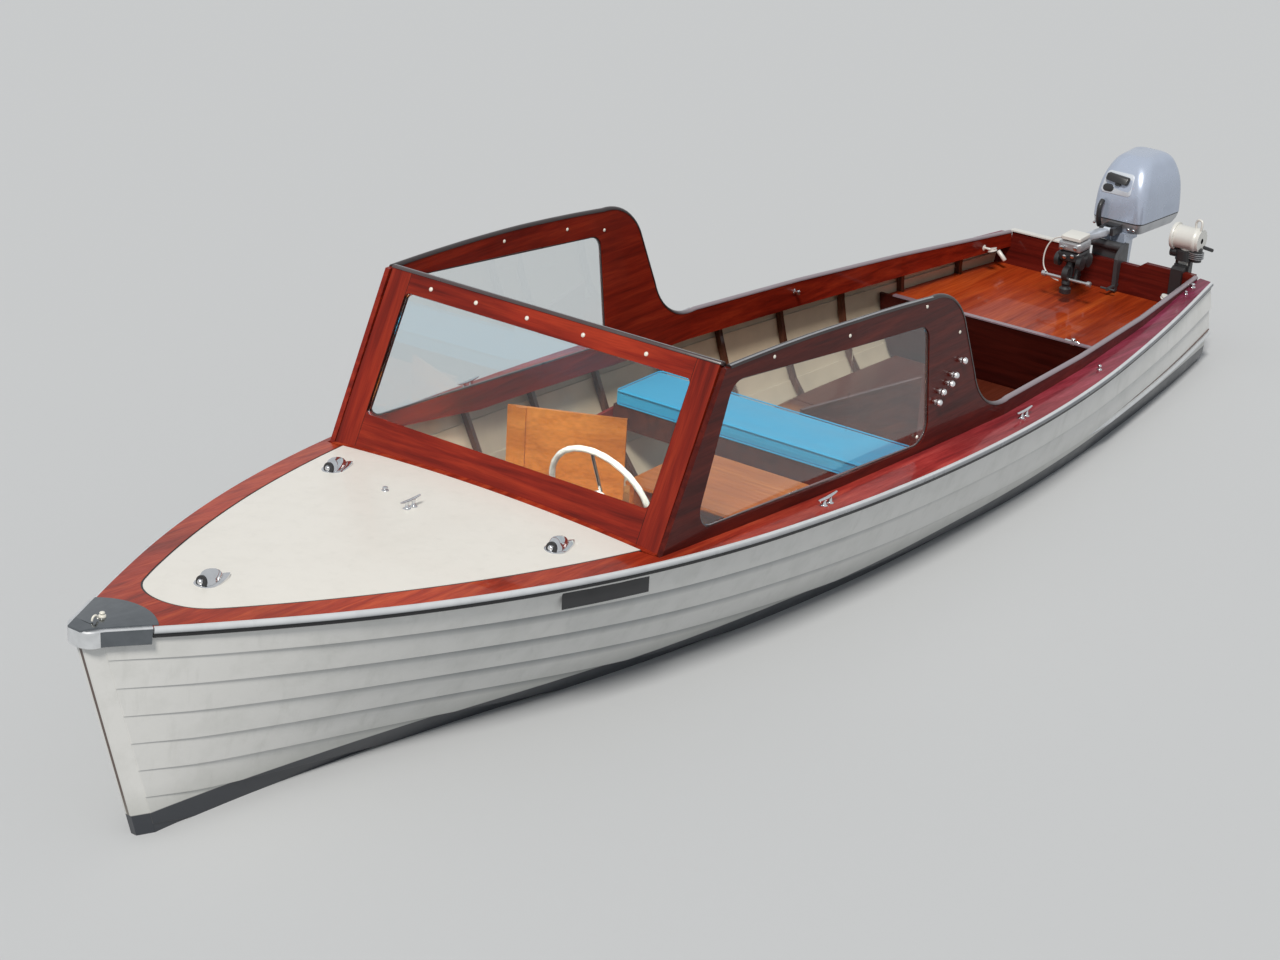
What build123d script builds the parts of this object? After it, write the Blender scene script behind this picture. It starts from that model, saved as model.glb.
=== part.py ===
from build123d import *
import math
import os

# A six metre clinker lake runabout: white lapped planks, varnished decks and an outboard motor.
# Millimetres. +X is forward, +Y is port, +Z is up, and the waterline is Z = 0.

# Driving sizes of the hull
HULL_LENGTH = 6000.0
BOW_X = HULL_LENGTH / 2
TRANSOM_X = -HULL_LENGTH / 2
TABLE_LENGTH = 6000.0
LONG = HULL_LENGTH / TABLE_LENGTH
TRANSOM_THICK = 28.0
PLANK_THICK = 11.0
STRAKES = 8
LAP_WIDTH = 20.0
LAP_FADE = 0.25
KEEL_HALF = 24.0
KEEL_RISE = 16.0
KEEL_SHORT = 260.0
KEEL_FRONT_Z = -118.0
GIRTH_STEPS = 160

# Hull stations, drawn for a hull of TABLE_LENGTH. x_top: place at the sheer, x_low: place at the keel, beam: half
# breadth at the sheer, sheer: height of the sheer, rabbet: height at the keel,
# power: smaller is a fuller bilge, tumble: how far the side falls in at the top,
# step: how much of a lap stands out there
SHAPE = [
    # x_top, x_low, beam, sheer, rabbet, power, tumble, step
    (-3000, -3000, 500, 346, -105, 0.150, 0.27, 1.0),
    (-2500, -2500, 590, 350, -135, 0.165, 0.19, 1.0),
    (-2000, -2000, 672, 360, -160, 0.180, 0.12, 1.0),
    (-1500, -1500, 742, 374, -180, 0.200, 0.07, 1.0),
    (-1000, -1000, 788, 392, -192, 0.225, 0.03, 1.0),
    (-500, -500, 808, 414, -198, 0.255, 0.0, 1.0),
    (0, 0, 806, 441, -200, 0.300, 0.0, 1.0),
    (500, 500, 780, 472, -196, 0.370, 0.0, 1.0),
    (1000, 1000, 728, 508, -188, 0.470, 0.0, 1.0),
    (1450, 1430, 645, 545, -176, 0.600, 0.0, 1.0),
    (1900, 1840, 520, 586, -160, 0.760, 0.0, 0.9),
    (2320, 2230, 358, 626, -138, 0.900, 0.0, 0.7),
    (2680, 2540, 182, 662, -108, 1.000, 0.0, 0.5),
    (2950, 2745, 34, 690, -62, 1.000, 0.0, 0.2),
]
STATIONS = [(x_top * LONG, x_low * LONG, *rest) for x_top, x_low, *rest in SHAPE]

# Stem, keel and rail
TRANSOM_TOP_Z = 374.0
MOTOR_CUT_HALF = 180.0
MOTOR_CUT_Z = 352.0
FRAME_SIDED = 20.0
FRAME_MOULDED = 24.0
FRAME_GAP = 0.5
FRAME_FIRST = TRANSOM_X + 300.0
FRAME_COUNT = 10
FRAME_SPACING = 400.0 * LONG
TRANSOM_FOOT_Z = -86.0
RAIL_OUT = 17.0
RAIL_HIGH = 30.0
BAND_HIGH = 56.0
STEM_INSET = 4.0
STEM_FOOT_OUT = 47.0
STEM_EDGE_TOP = 15.0
STEM_EDGE_LOW = 10.0

# Deck
DECK_THICK = 10.0
DECK_CROWN = 34.0
CROWN_AT = 790.0
CROWN_STEPS = 4
SEAM = 3.0
LEDGE = 24.0
BOARD_AT_BOW = 88.0
PANEL_NOSE_X = BOW_X - 310.0
PANEL_BEHIND = 14.0
PANEL_SIDE_AT = [1500 * LONG, 1900 * LONG, 2300 * LONG, 2500 * LONG]

# Windscreen: base and rake of its flat frame
SCREEN_X = 1284.0 * LONG
SCREEN_HALF = 650.0
SCREEN_BASE_Z = 536.0
SCREEN_TOP_Z = 1078.0
SCREEN_RAKE = 27.0
STILE_WIDE = 82.0
TOP_RAIL = 66.0
BOTTOM_RAIL = 128.0
FRAME_THICK = 26.0
GLASS_THICK = 5.0
GLASS_GAP = 0.3
CAP_HIGH = 14.0

# Side boards that carry the side windows and fall to the cockpit coaming
BOARD_THICK = 18.0
BOARD_PLAN = [
    # x, outer half breadth
    (SCREEN_X + 36, SCREEN_HALF + 19), (300 * LONG, SCREEN_HALF + 50), (-800 * LONG, SCREEN_HALF + 53),
    (-1500 * LONG, SCREEN_HALF + 5), (-2200 * LONG, SCREEN_HALF - 72), (TRANSOM_X + 30, SCREEN_HALF - 188),
]
BOARD_BELOW = 44.0
BOARD_BELOW_FRONT = 12.0
WING_TOP_FRONT = 1072.0
WING_TOP_PEAK = 1008.0
WING_PEAK_X = -190.0 * LONG
WING_FOOT_X = -800.0 * LONG
COAMING_ABOVE = 62.0
COAMING_END_ABOVE = 14.0
WINDOW_EDGE = 46.0
WINDOW_SILL = 52.0
WINDOW_AFT_X = -250.0 * LONG
WINDOW_FRONT_X = SCREEN_X - 184.0
WINDOW_ROUND = 70.0
# Places along the boat where the side boards' lower edge is drawn
BOARD_FOOT_AT = [TRANSOM_X + 30, -2200 * LONG, -1500 * LONG, WING_FOOT_X + 100, WINDOW_AFT_X - 50, SCREEN_X - 784]

# Cockpit
FLOOR_Z = -20.0
FLOOR_THICK = 12.0
FLOOR_LOW = FLOOR_Z - FLOOR_THICK
SEAT_Z = 238.0
SEAT_X = (-280.0 * LONG - 290.0, -280.0 * LONG)
SEAT_BOARD = 20.0
CUSHION_THICK = 62.0
RISER_HIGH = 44.0
RISER_WIDE = 14.0
RISER_FRAMES = (FRAME_FIRST + 6 * FRAME_SPACING, FRAME_FIRST + 7 * FRAME_SPACING)
DRIVER_SEAT_X = (SCREEN_X - 1384.0, SCREEN_X - 964.0)
DRIVER_SEAT_Y = (-160.0, 350.0)
DRIVER_SEAT_Z = 250.0
SEAT_PLY = 12.0
PASSENGER_BOARD = ((SCREEN_X - 844.0, -600.0), (SCREEN_X - 1024.0, -210.0))
PASSENGER_TOP = 450.0
LOCKER_BOARD = ((SEAT_X[0] - 20.0, -20.0), (SEAT_X[0] - 640.0, 130.0))
LOCKER_TOP = 300.0
AFT_DECK_Z = 218.0
AFT_DECK_THICK = 14.0
BULKHEAD_ABOVE = 18.0
BULKHEAD_THICK = 18.0
PLANK_GAP = 8.0
AFT_BULKHEAD_X = TRANSOM_X + 830.0
FIT_GAP = 1.0

# Cutting solids reach past the piece that they cut: below the deck, above it, above the screen, and sideways
CUT_LOW = 200.0
CUT_HIGH = 900.0
CUT_TALL = 1300.0
CUT_SIDE = 1000.0

# Steering wheel and dash
WHEEL = (SCREEN_X - 224.0, 273.0, 545.0)
WHEEL_RADIUS = 190.0
WHEEL_TILT = 19.0
RIM_RADIUS = 11.0
SPOKES = 3
SPOKE_RADIUS = 6.0
DASH_X = SCREEN_X - 59.0
DASH_LOW = 330.0
DASH_THICK = 16.0

# Deck fittings: places of the drops, then x, y and length of the cleats' horns
DROPS = [(BOW_X - 485, 0), (SCREEN_X + 231, -445), (SCREEN_X + 231, 445)]
CLEATS = [
    (SCREEN_X + 329, -40, 90), (480 * LONG, 752, 110), (480 * LONG, -752, 110), (-843 * LONG, 762, 110),
    (-843 * LONG, -762, 110),
]

# Outboard motor
TILT_X = TRANSOM_X - 6.0
TILT_Z = 408.0
STEER_X = TRANSOM_X - 78.0
MOTOR_PAN_Z = 450.0
COWL_LENGTH = 372.0
COWL_WIDE = 292.0
COWL_FRONT = STEER_X + 2.0
COWL_NOSE = 0.82
PROP_Z = -300.0
PROP_X = STEER_X - 170.3
PROP_RADIUS = 112.0
BLADES = 3
TILLER_X = STEER_X + 74.0
TILLER_Z = 470.0
AUX_Y = 368.0
AUX_TILT_X = TRANSOM_X - 24.0
AUX_TILT_Z = 404.0
AUX_SHAFT_X = TRANSOM_X - 52.0
AUX_PROP_RADIUS = 70.0
AUX_PROP_Z = -190.0


def lerp(a, b, t):
    """Straight line from a to b."""
    return a + (b - a) * t


def station_at(x):
    """The station row at a place along the hull, straight between the rows."""
    rows = STATIONS
    for low, high in zip(rows[:-1], rows[1:]):
        if x <= high[0]:
            t = (x - low[0]) / (high[0] - low[0])
            return tuple(lerp(a, b, t) for a, b in zip(low, high))
    return rows[-1]


def curve_point(row, t):
    """Inner face of the planking at height share t, as (breadth, height)."""
    x_top, x_low, beam, sheer, rabbet, power, tumble, step = row
    breadth = KEEL_HALF + (beam - KEEL_HALF) * t ** power * (1 + tumble * (1 - t))
    return breadth, lerp(rabbet, sheer, t)


def girth_points(row, shares):
    """Points at shares of the girth, each as (breadth, height, normal)."""
    steps = [(i / GIRTH_STEPS) ** 2 for i in range(GIRTH_STEPS + 1)]
    pts = [curve_point(row, t) for t in steps]
    run = [0.0]
    for p, q in zip(pts[:-1], pts[1:]):
        run.append(run[-1] + math.hypot(q[0] - p[0], q[1] - p[1]))
    out = []
    for share in shares:
        want = share * run[-1]
        i = next((k for k in range(1, len(run)) if run[k] >= want - 1e-9), len(run) - 1)
        t = (want - run[i - 1]) / (run[i] - run[i - 1])
        p, q = pts[i - 1], pts[i]
        length = math.hypot(q[0] - p[0], q[1] - p[1])
        normal = ((q[1] - p[1]) / length, -(q[0] - p[0]) / length)
        out.append((lerp(p[0], q[0], t), lerp(p[1], q[1], t), normal))
    return out, run[-1]


def plank_outline(row):
    """Stepped cross-section of one side's lapped planks, as (breadth, height)."""
    step = row[7] * PLANK_THICK
    shares = [k / STRAKES for k in range(STRAKES + 1)]
    base, girth = girth_points(row, shares)
    lap = LAP_WIDTH / girth if row[7] > LAP_FADE else LAP_WIDTH / 2 / girth
    upper, _ = girth_points(row, [s + lap for s in shares[1:-1]])

    def off(point, distance):
        breadth, height, (ny, nz) = point
        return breadth + ny * distance, height + nz * distance

    first = base[0]
    drop = PLANK_THICK / max(-first[2][1], 0.4)
    outer = [(KEEL_HALF, first[1] - drop)]
    for k in range(1, STRAKES):
        outer.append(off(base[k], PLANK_THICK))
        outer.append(off(base[k], PLANK_THICK + step))
    top = base[STRAKES]
    outer.append((top[0] + PLANK_THICK, top[1]))
    inner = [(KEEL_HALF, first[1])]
    for point in upper:
        inner.append(off(point, 0.0))
        inner.append(off(point, step))
    inner.append((top[0], top[1]))
    return outer, inner


def outline_at(x):
    """Plank outline at an upright station, straight between the table's own outlines."""
    rows = STATIONS
    for low, high in zip(rows[:-1], rows[1:]):
        if x <= high[0]:
            t = (x - low[0]) / (high[0] - low[0])
            pairs = zip(plank_outline(low), plank_outline(high))
            return tuple([(lerp(a[0], b[0], t), lerp(a[1], b[1], t)) for a, b in zip(p, q)]
                         for p, q in pairs)
    return plank_outline(rows[-1])


def on_station(row, breadth, height, side):
    """Point of a raked station plane, from breadth and height."""
    x_top, x_low, beam, sheer, rabbet, *_ = row
    x = lerp(x_low, x_top, (height - rabbet) / (sheer - rabbet))
    return (x, side * breadth, height)


def face_of(points):
    """Flat face from a ring of corner points."""
    return make_face(Polyline(*points, close=True))


def ruled(rings):
    """Solid ruled through rings of like corners."""
    return loft([face_of(ring) for ring in rings], ruled=True)


def sheer_half(x):
    """Outer half breadth of the planking at the sheer."""
    return station_at(x)[2] + PLANK_THICK


def sheer_z(x):
    """Height of the planking's upper edge."""
    return station_at(x)[3]


def deck_z(x, y):
    """Height of the crowned deck's top."""
    half = sheer_half(x)
    return sheer_z(x) + DECK_THICK + DECK_CROWN * (half / CROWN_AT) * (1 - (y / half) ** 2)


def inner_half(x, z):
    """Inner half breadth of the planking at a height."""
    row = station_at(x)
    t = min(max((z - row[4]) / (row[3] - row[4]), 0.0), 1.0)
    return curve_point(row, t)[0]


def board_half(x):
    """Outer half breadth of the side board."""
    rows = BOARD_PLAN
    for (xa, ya), (xb, yb) in zip(rows[:-1], rows[1:]):
        if x >= xb:
            return lerp(ya, yb, (x - xa) / (xb - xa))
    return rows[-1][1]


def prism_z(points, z0, z1):
    """Upright prism on a plan outline."""
    return extrude(face_of([(x, y, z0) for x, y in points]), z1 - z0, dir=(0, 0, 1))


def prism_y(points, y0, y1):
    """Prism across the boat on a side outline of (x, z) points."""
    return extrude(face_of([(x, y0, z) for x, z in points]), y1 - y0, dir=(0, 1, 0))


def block(x0, x1, y0, y1, z0, z1):
    """Box between two corners."""
    return Pos((x0 + x1) / 2, (y0 + y1) / 2, (z0 + z1) / 2) * Box(x1 - x0, y1 - y0, z1 - z0)


def one_side(side, x0, x1):
    """Cutting solid that holds all of one side of the boat above the floor."""
    return block(x0, x1, min(0, side * CUT_SIDE), max(0, side * CUT_SIDE), CUT_LOW, CUT_TALL)


def rod(start, end, radius):
    """Round bar between two points."""
    way = Vector(*end) - Vector(*start)
    plane = Plane(origin=start, z_dir=way)
    return extrude(plane * Circle(radius), way.length)


# Planking, stem, keel, transom and frames

def planking(side):
    """Lapped planks of one side, ruled through the stepped station outlines."""
    rings = []
    for row in STATIONS:
        outer, inner = plank_outline(row)
        rings.append([on_station(row, y, z, side) for y, z in outer + inner[::-1]])
    return ruled(rings)


def stem_at(z):
    """The stem ahead of the plank ends at a height: back x and half width, front x and half width."""
    x_top, x_low, beam, sheer, rabbet = STATIONS[-1][:5]
    t = (z - rabbet) / (sheer - rabbet)
    back_half = lerp(KEEL_HALF, beam, min(max(t, 0.0), 1.0)) + PLANK_THICK
    front_x = lerp(x_low + STEM_FOOT_OUT, BOW_X - STEM_INSET, (z - rabbet) / (sheer + DECK_THICK - rabbet))
    return lerp(x_low, x_top, t), back_half, front_x, lerp(STEM_EDGE_LOW, STEM_EDGE_TOP, t)


def stem():
    """Raked stem: a core between the planks and a wedge ahead of their ends, in line with their faces."""
    x_top, x_low, beam, sheer, rabbet = STATIONS[-1][:5]
    slope = (x_top - x_low) / (sheer - rabbet)
    core = [(x_top, sheer), (x_low - 62 * slope, rabbet - 62), (x_low - 190, rabbet - 96),
            (x_low - 260, rabbet - 60), (x_low - 170, rabbet + 20), (x_low - 100, rabbet + 100),
            (x_top - 90, sheer_z(x_top - 90))]
    rings = []
    for z in (sheer + DECK_THICK, sheer, rabbet):
        back, back_half, front, edge = stem_at(z)
        rings.append([(back, -back_half, z), (front, -edge, z), (front, edge, z), (back, back_half, z)])
    foot = rabbet - 62
    back = x_low - 62 * slope
    rings.append([(back, -KEEL_HALF, foot), (back + 20, -8, foot), (back + 20, 8, foot), (back, KEEL_HALF, foot)])
    return prism_y(core, -KEEL_HALF, KEEL_HALF) + ruled(rings)


def keel():
    """Keel with its upper face inside the planks and a skeg aft."""
    front_x = STATIONS[-1][1] - KEEL_SHORT
    rows = [row for row in STATIONS if row[1] <= front_x - KEEL_SHORT / 2]
    top = [(row[1], row[4] + KEEL_RISE) for row in rows] + [(front_x, KEEL_FRONT_Z)]
    low = [(front_x, KEEL_FRONT_Z - 40), (front_x - 385, -196), (0, -272), (TRANSOM_X + 250, -290),
           (TRANSOM_X + 40, -150), (TRANSOM_X + TRANSOM_THICK, -150)]
    top[0] = (TRANSOM_X + TRANSOM_THICK, top[0][1])
    return prism_y(top + low, -KEEL_HALF, KEEL_HALF)


def transom_ring(x):
    """Stern board's outline at one of its faces, inside the planks."""
    _, inner = outline_at(x)
    board_in = board_half(TRANSOM_X + TRANSOM_THICK) - BOARD_THICK - FIT_GAP / 2
    edge_z = sheer_z(TRANSOM_X)
    bottom = TRANSOM_FOOT_Z
    edge = [p for p in inner[1:-1] if p[1] > bottom] + [(inner[-1][0], edge_z)]
    top = [(board_in, edge_z), (board_in, TRANSOM_TOP_Z), (MOTOR_CUT_HALF + 30, TRANSOM_TOP_Z),
           (MOTOR_CUT_HALF, MOTOR_CUT_Z)]
    half = [(KEEL_HALF, bottom)] + edge + top
    return [(x, y, z) for y, z in half + [(-y, z) for y, z in half[::-1]]]


def transom():
    """Stern board inside the planks, cut down in the middle for the motor."""
    return ruled([transom_ring(TRANSOM_X), transom_ring(TRANSOM_X + TRANSOM_THICK)])


def frame_ring(x):
    """One bent frame's outline at one of its faces, across the keel."""
    _, inner = outline_at(x)
    seat = [inner[0]] + inner[1:-1:2] + [inner[-1]]
    outer = []
    face = []
    for a, p, b in zip(seat[:-2], seat[1:-1], seat[2:]):
        length = math.hypot(b[0] - a[0], b[1] - a[1])
        ny, nz = (b[1] - a[1]) / length, -(b[0] - a[0]) / length
        outer.append((p[0] - ny * FRAME_GAP, p[1] - nz * FRAME_GAP))
        face.append((p[0] - ny * FRAME_MOULDED, p[1] - nz * FRAME_MOULDED))
    deep = inner[0][1] + 18
    top = seat[-1][1] - 14
    outer.append((lerp(outer[-1][0], seat[-1][0] - FRAME_GAP, 0.9), top))
    face.append((outer[-1][0] - FRAME_MOULDED, top))
    inside = [p for p in face if p[1] > FLOOR_LOW + 4]
    below = [p for p in face if p[1] <= FLOOR_LOW + 4][-1]
    t = (FLOOR_LOW - below[1]) / (inside[0][1] - below[1])
    corner = (lerp(below[0], inside[0][0], t), FLOOR_LOW)
    half = [(KEEL_HALF + 8, deep)] + outer + inside[::-1] + [corner]
    return [(x, y, z) for y, z in half + [(-y, z) for y, z in half[::-1]]]


def frame_face(x, z):
    """Half breadth of a frame's inner face at a height."""
    ring = [(p[1], p[2]) for p in frame_ring(x)]
    ring = ring[:len(ring) // 2][::-1]
    for a, b in zip(ring[:-1], ring[1:]):
        if a[1] <= z <= b[1]:
            return lerp(a[0], b[0], (z - a[1]) / (b[1] - a[1]))
    return ring[0][0]


def frames():
    """Bent frames inside the planks, notched round the side boards."""
    out = []
    for k in range(FRAME_COUNT):
        x = FRAME_FIRST + k * FRAME_SPACING
        body = ruled([frame_ring(x), frame_ring(x + FRAME_SIDED)])
        for side in (1, -1):
            body = body - prism_z([(a, side * b) for a, b in board_strip(0.5)], board_foot(x) - 2, CUT_HIGH)
        out += body.solids()
    return Compound(children=out)


def rub_rail(side):
    """Half-round rail outside the top plank, in straight runs between stations."""
    rings = []
    for row in STATIONS[:-1]:
        y, z = row[2] + PLANK_THICK, row[3]
        foot = z - RAIL_HIGH + DECK_THICK
        high = z + DECK_THICK
        mid = (foot + high) / 2
        below = plank_outline(row)[0][-2]
        y_foot = lerp(y, below[0], (z - foot) / (z - below[1]))
        pts = [(y_foot + FIT_GAP / 4, foot), (y + RAIL_OUT * 0.7, foot + 4), (y + RAIL_OUT, mid),
               (y + RAIL_OUT * 0.7, high - 4), (y, high), (y, z)]
        rings.append([on_station(row, a, b, side) for a, b in pts])
    return ruled(rings)


# Decks

def deck_ring(row, lift=0.0, thick=DECK_THICK):
    """Crowned slab across a station, its top raised by lift."""
    half = row[2] + PLANK_THICK
    crown = DECK_CROWN * half / CROWN_AT
    steps = [i / CROWN_STEPS for i in range(-CROWN_STEPS, CROWN_STEPS + 1)]
    top = [(s * half, row[3] + DECK_THICK + crown * (1 - s * s) + lift) for s in steps]
    low = [(y, z - thick) for y, z in top]
    return [on_station(row, y, z, 1) for y, z in top + low[::-1]]


def whole_deck(thick=DECK_THICK):
    """Crowned slab over the whole hull."""
    return ruled([deck_ring(row, 0.0, thick) for row in STATIONS])


def panel_outline(grow):
    """Plan of the painted foredeck panel, round at its nose."""
    xs = [SCREEN_X + PANEL_BEHIND - grow] + PANEL_SIDE_AT
    side = [(x, sheer_half(x) - BOARD_AT_BOW + grow) for x in xs]
    nose = [(PANEL_NOSE_X - 70, 84 + grow), (PANEL_NOSE_X - 20, 44 + grow * 0.8), (PANEL_NOSE_X + grow, 0)]
    ring = side + nose
    return ring + [(x, -y) for x, y in ring[-2::-1]]


def cockpit_outline():
    """Plan inside the side boards, from the windscreen to the transom."""
    front = SCREEN_X - 60
    xs = [front] + [x for x, _ in BOARD_PLAN[1:-1]] + [TRANSOM_X - 10]
    side = [(x, board_half(x) - BOARD_THICK - 0.2) for x in xs]
    return side + [(x, -y) for x, y in side[::-1]]


def board_strip(grow=0.0):
    """Plan of one side board, wider by grow all round."""
    xs = [x for x, _ in BOARD_PLAN]
    outer = [(x, board_half(x) + grow) for x in xs]
    inner = [(x, board_half(x) - BOARD_THICK - grow) for x in xs]
    return outer + inner[::-1]


def covering_board(side, deck):
    """One side of the deck round the painted panel and the cockpit, with the ledge under the panel."""
    panel = prism_z(panel_outline(SEAM), CUT_LOW, CUT_HIGH)
    cockpit = prism_z(cockpit_outline(), CUT_LOW, CUT_HIGH)
    wing = prism_z([(x, side * y) for x, y in board_strip(0.3)], CUT_LOW, CUT_HIGH)
    half = deck & one_side(side, TRANSOM_X, BOW_X + 10)
    return half - panel - cockpit - wing + panel_ledge(side)


def foredeck():
    """Painted panel, half the deck's thickness, inside the seam."""
    upper = ruled([deck_ring(row, 0.0, DECK_THICK / 2 - 0.3) for row in STATIONS])
    return upper & prism_z(panel_outline(0), CUT_LOW, CUT_HIGH)


def panel_ledge(side):
    """Ledge of the covering board that carries the panel's edge."""
    low = ruled([deck_ring(row, -DECK_THICK / 2, DECK_THICK / 2) for row in STATIONS])
    outside = prism_z(panel_outline(SEAM + 2), CUT_LOW, CUT_HIGH)
    inside = prism_z(panel_outline(-LEDGE), CUT_LOW, CUT_HIGH)
    return low & (outside - inside) & one_side(side, DASH_X, BOW_X)


# Windscreen and side boards

def screen_x(z):
    """Front face of the windscreen at a height."""
    return SCREEN_X - (z - SCREEN_BASE_Z) * math.tan(math.radians(SCREEN_RAKE))


def screen_plane():
    """Plane of the windscreen's front face, its origin at the foot amidships."""
    rake = math.radians(SCREEN_RAKE)
    return Plane(origin=(SCREEN_X, 0, SCREEN_BASE_Z), x_dir=(0, 1, 0),
                 z_dir=(math.cos(rake), 0, math.sin(rake)))


def screen_slant():
    """Height of the windscreen along its rake."""
    return (SCREEN_TOP_Z - SCREEN_BASE_Z) / math.cos(math.radians(SCREEN_RAKE))


def screen_opening(shrink):
    """Opening of the windscreen frame in its own plane."""
    tall = screen_slant()
    high = tall - TOP_RAIL - BOTTOM_RAIL
    wide = 2 * SCREEN_HALF - 2 * STILE_WIDE
    return Pos(0, BOTTOM_RAIL + high / 2) * RectangleRounded(wide - 2 * shrink, high - 2 * shrink, 16)


def windscreen_frame(deck_deep):
    """Flat raked frame, its foot cut to the crown of the deck."""
    tall = screen_slant()
    sketch = Pos(0, tall / 2) * Rectangle(2 * SCREEN_HALF, tall)
    body = extrude(screen_plane() * (sketch - screen_opening(0)), -FRAME_THICK)
    return body - deck_deep


def windscreen_glass():
    """Pane in the middle of the windscreen frame."""
    pane = screen_opening(GLASS_GAP)
    middle = screen_plane().offset(-FRAME_THICK / 2 + GLASS_THICK / 2)
    return extrude(middle * pane, -GLASS_THICK)


def windscreen_cap():
    """Round-topped strip on the windscreen's upper edge."""
    plane = screen_plane()
    tall = screen_slant()
    origin = plane.from_local_coords((0, tall, 0))
    across = Plane(origin=origin, x_dir=plane.z_dir, z_dir=(0, 1, 0))
    profile = [(4, 0), (4, CAP_HIGH * 0.6), (-4, CAP_HIGH), (-FRAME_THICK + 4, CAP_HIGH),
               (-FRAME_THICK - 4, CAP_HIGH * 0.6), (-FRAME_THICK - 4, 0)]
    up = plane.y_dir
    pts = []
    for a, b in profile:
        p = origin + plane.z_dir * a + up * b
        pts.append((p.X, p.Z))
    return prism_y(pts, -SCREEN_HALF - 4, SCREEN_HALF + 4)


def board_foot(x):
    """Height of a side board's lower edge."""
    return sheer_z(x) - BOARD_BELOW


def wing_profile():
    """Side outline of a side board: raked front, long top, S-curve, low coaming."""
    top_front_z = WING_TOP_FRONT
    front_foot = (screen_x(sheer_z(SCREEN_X)) + 2, sheer_z(SCREEN_X))
    front_top = (screen_x(top_front_z) + 2, top_front_z)
    foot_z = sheer_z(WING_FOOT_X) + DECK_THICK + COAMING_ABOVE
    end_z = sheer_z(TRANSOM_X) + DECK_THICK + COAMING_END_ABOVE
    peak = (WING_PEAK_X, WING_TOP_PEAK)
    shoulder = (WING_PEAK_X - 235, WING_TOP_PEAK - 130)
    waist = (WING_PEAK_X - 350, WING_TOP_PEAK - 360)
    foot = (WING_FOOT_X - 30, foot_z)
    middle = (BOARD_PLAN[3][0], sheer_z(BOARD_PLAN[3][0]) + DECK_THICK + COAMING_ABOVE - 4)
    edges = [
        Line(front_foot, front_top),
        ThreePointArc(front_top, (lerp(front_top[0], peak[0], 0.5), lerp(front_top[1], peak[1], 0.5) + 16), peak),
        ThreePointArc(peak, (peak[0] - 140, peak[1] - 36), shoulder),
        Line(shoulder, waist),
        ThreePointArc(waist, (waist[0] - 62, waist[1] - 96), foot),
        Line(foot, middle),
        Line(middle, (TRANSOM_X + 30, end_z)),
    ]
    low = [(TRANSOM_X + 30, end_z)] + [(x, board_foot(x)) for x in BOARD_FOOT_AT]
    low += [(SCREEN_X - 384, sheer_z(SCREEN_X - 384) - BOARD_BELOW_FRONT), front_foot]
    return edges + [Line(a, b) for a, b in zip(low[:-1], low[1:])]


def window_outline(shrink):
    """Side window: raked front edge, level top, upright rear edge, round corners."""
    sill_front = deck_z(WINDOW_FRONT_X, board_half(WINDOW_FRONT_X)) + WINDOW_SILL - 12
    sill_aft = deck_z(WINDOW_AFT_X, board_half(WINDOW_AFT_X)) + WINDOW_SILL - 26
    top_front = WING_TOP_FRONT - WINDOW_EDGE
    top_aft = WING_TOP_PEAK - WINDOW_EDGE - 44
    corners = [
        (screen_x(sill_front) - 140, sill_front), (screen_x(top_front) - 64, top_front),
        (WINDOW_AFT_X + 70, top_aft), (WINDOW_AFT_X, sill_aft),
    ]
    ring = FilletPolyline(*corners, radius=WINDOW_ROUND, close=True)
    face = make_face(ring)
    return offset(face, -shrink) if shrink else face


def through(sketch):
    """Solid across the whole boat from a sketch drawn in (x, z)."""
    plane = Plane(origin=(0, CUT_SIDE, 0), x_dir=(1, 0, 0), z_dir=(0, -1, 0))
    return extrude(plane * sketch, 2 * CUT_SIDE)


def side_board(side):
    """Curved board of one side: its plan strip cut to the side outline, with the window's hole."""
    strip = prism_z([(x, side * y) for x, y in board_strip()], CUT_LOW, CUT_TALL)
    outline = make_face(Wire(wing_profile()))
    return (strip & through(outline) & one_side(side, TRANSOM_X, BOW_X)) - through(window_outline(0))


def side_glass(side):
    """Pane that fills the side window, in the middle of the board."""
    inset = (BOARD_THICK - GLASS_THICK) / 2
    xs = [x for x, _ in BOARD_PLAN][:3]
    outer = [(x, side * (board_half(x) - inset)) for x in xs]
    inner = [(x, side * (board_half(x) - inset - GLASS_THICK)) for x in xs]
    sheet = prism_z(outer + inner[::-1], CUT_LOW, CUT_TALL)
    return sheet & through(window_outline(GLASS_GAP))


# Bow fittings

def bow_cap():
    """Bright plate over the bow with a rounded after edge."""
    plate = ruled([deck_ring(row, 5.0, 5.0) for row in STATIONS[-2:]])
    last = STATIONS[-1]
    deck_top = last[3] + DECK_THICK
    cut = Pos(BOW_X - 40, 0, deck_top) * Cylinder(190, 400)
    start = last[0] + 3.2
    edge = STEM_EDGE_TOP + 8
    nose = prism_z([(start, -45), (BOW_X, -edge), (BOW_X, edge), (start, 45)], deck_top + 0.3, deck_top + 6)
    return (plate & cut) + nose


def bow_band(side):
    """Bright band along the top plank's forward end, in line with the rail."""
    rings = []
    for row in STATIONS[-2:]:
        below = plank_outline(row)[0][-2]
        y, z = row[2] + PLANK_THICK, row[3]
        foot = z - BAND_HIGH + DECK_THICK
        y_foot = lerp(y, below[0], (z - foot) / (z - below[1]))
        pts = [(y_foot + 0.3, foot), (y_foot + RAIL_OUT - 5, foot), (y + RAIL_OUT - 1, z + DECK_THICK - 6),
               (y + RAIL_OUT - 7, z + DECK_THICK - 0.3), (y + 0.3, z + DECK_THICK - 0.3), (y + 0.3, z)]
        rings.append([on_station(row, a, b, side) for a, b in pts])
    return ruled(rings)


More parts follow.
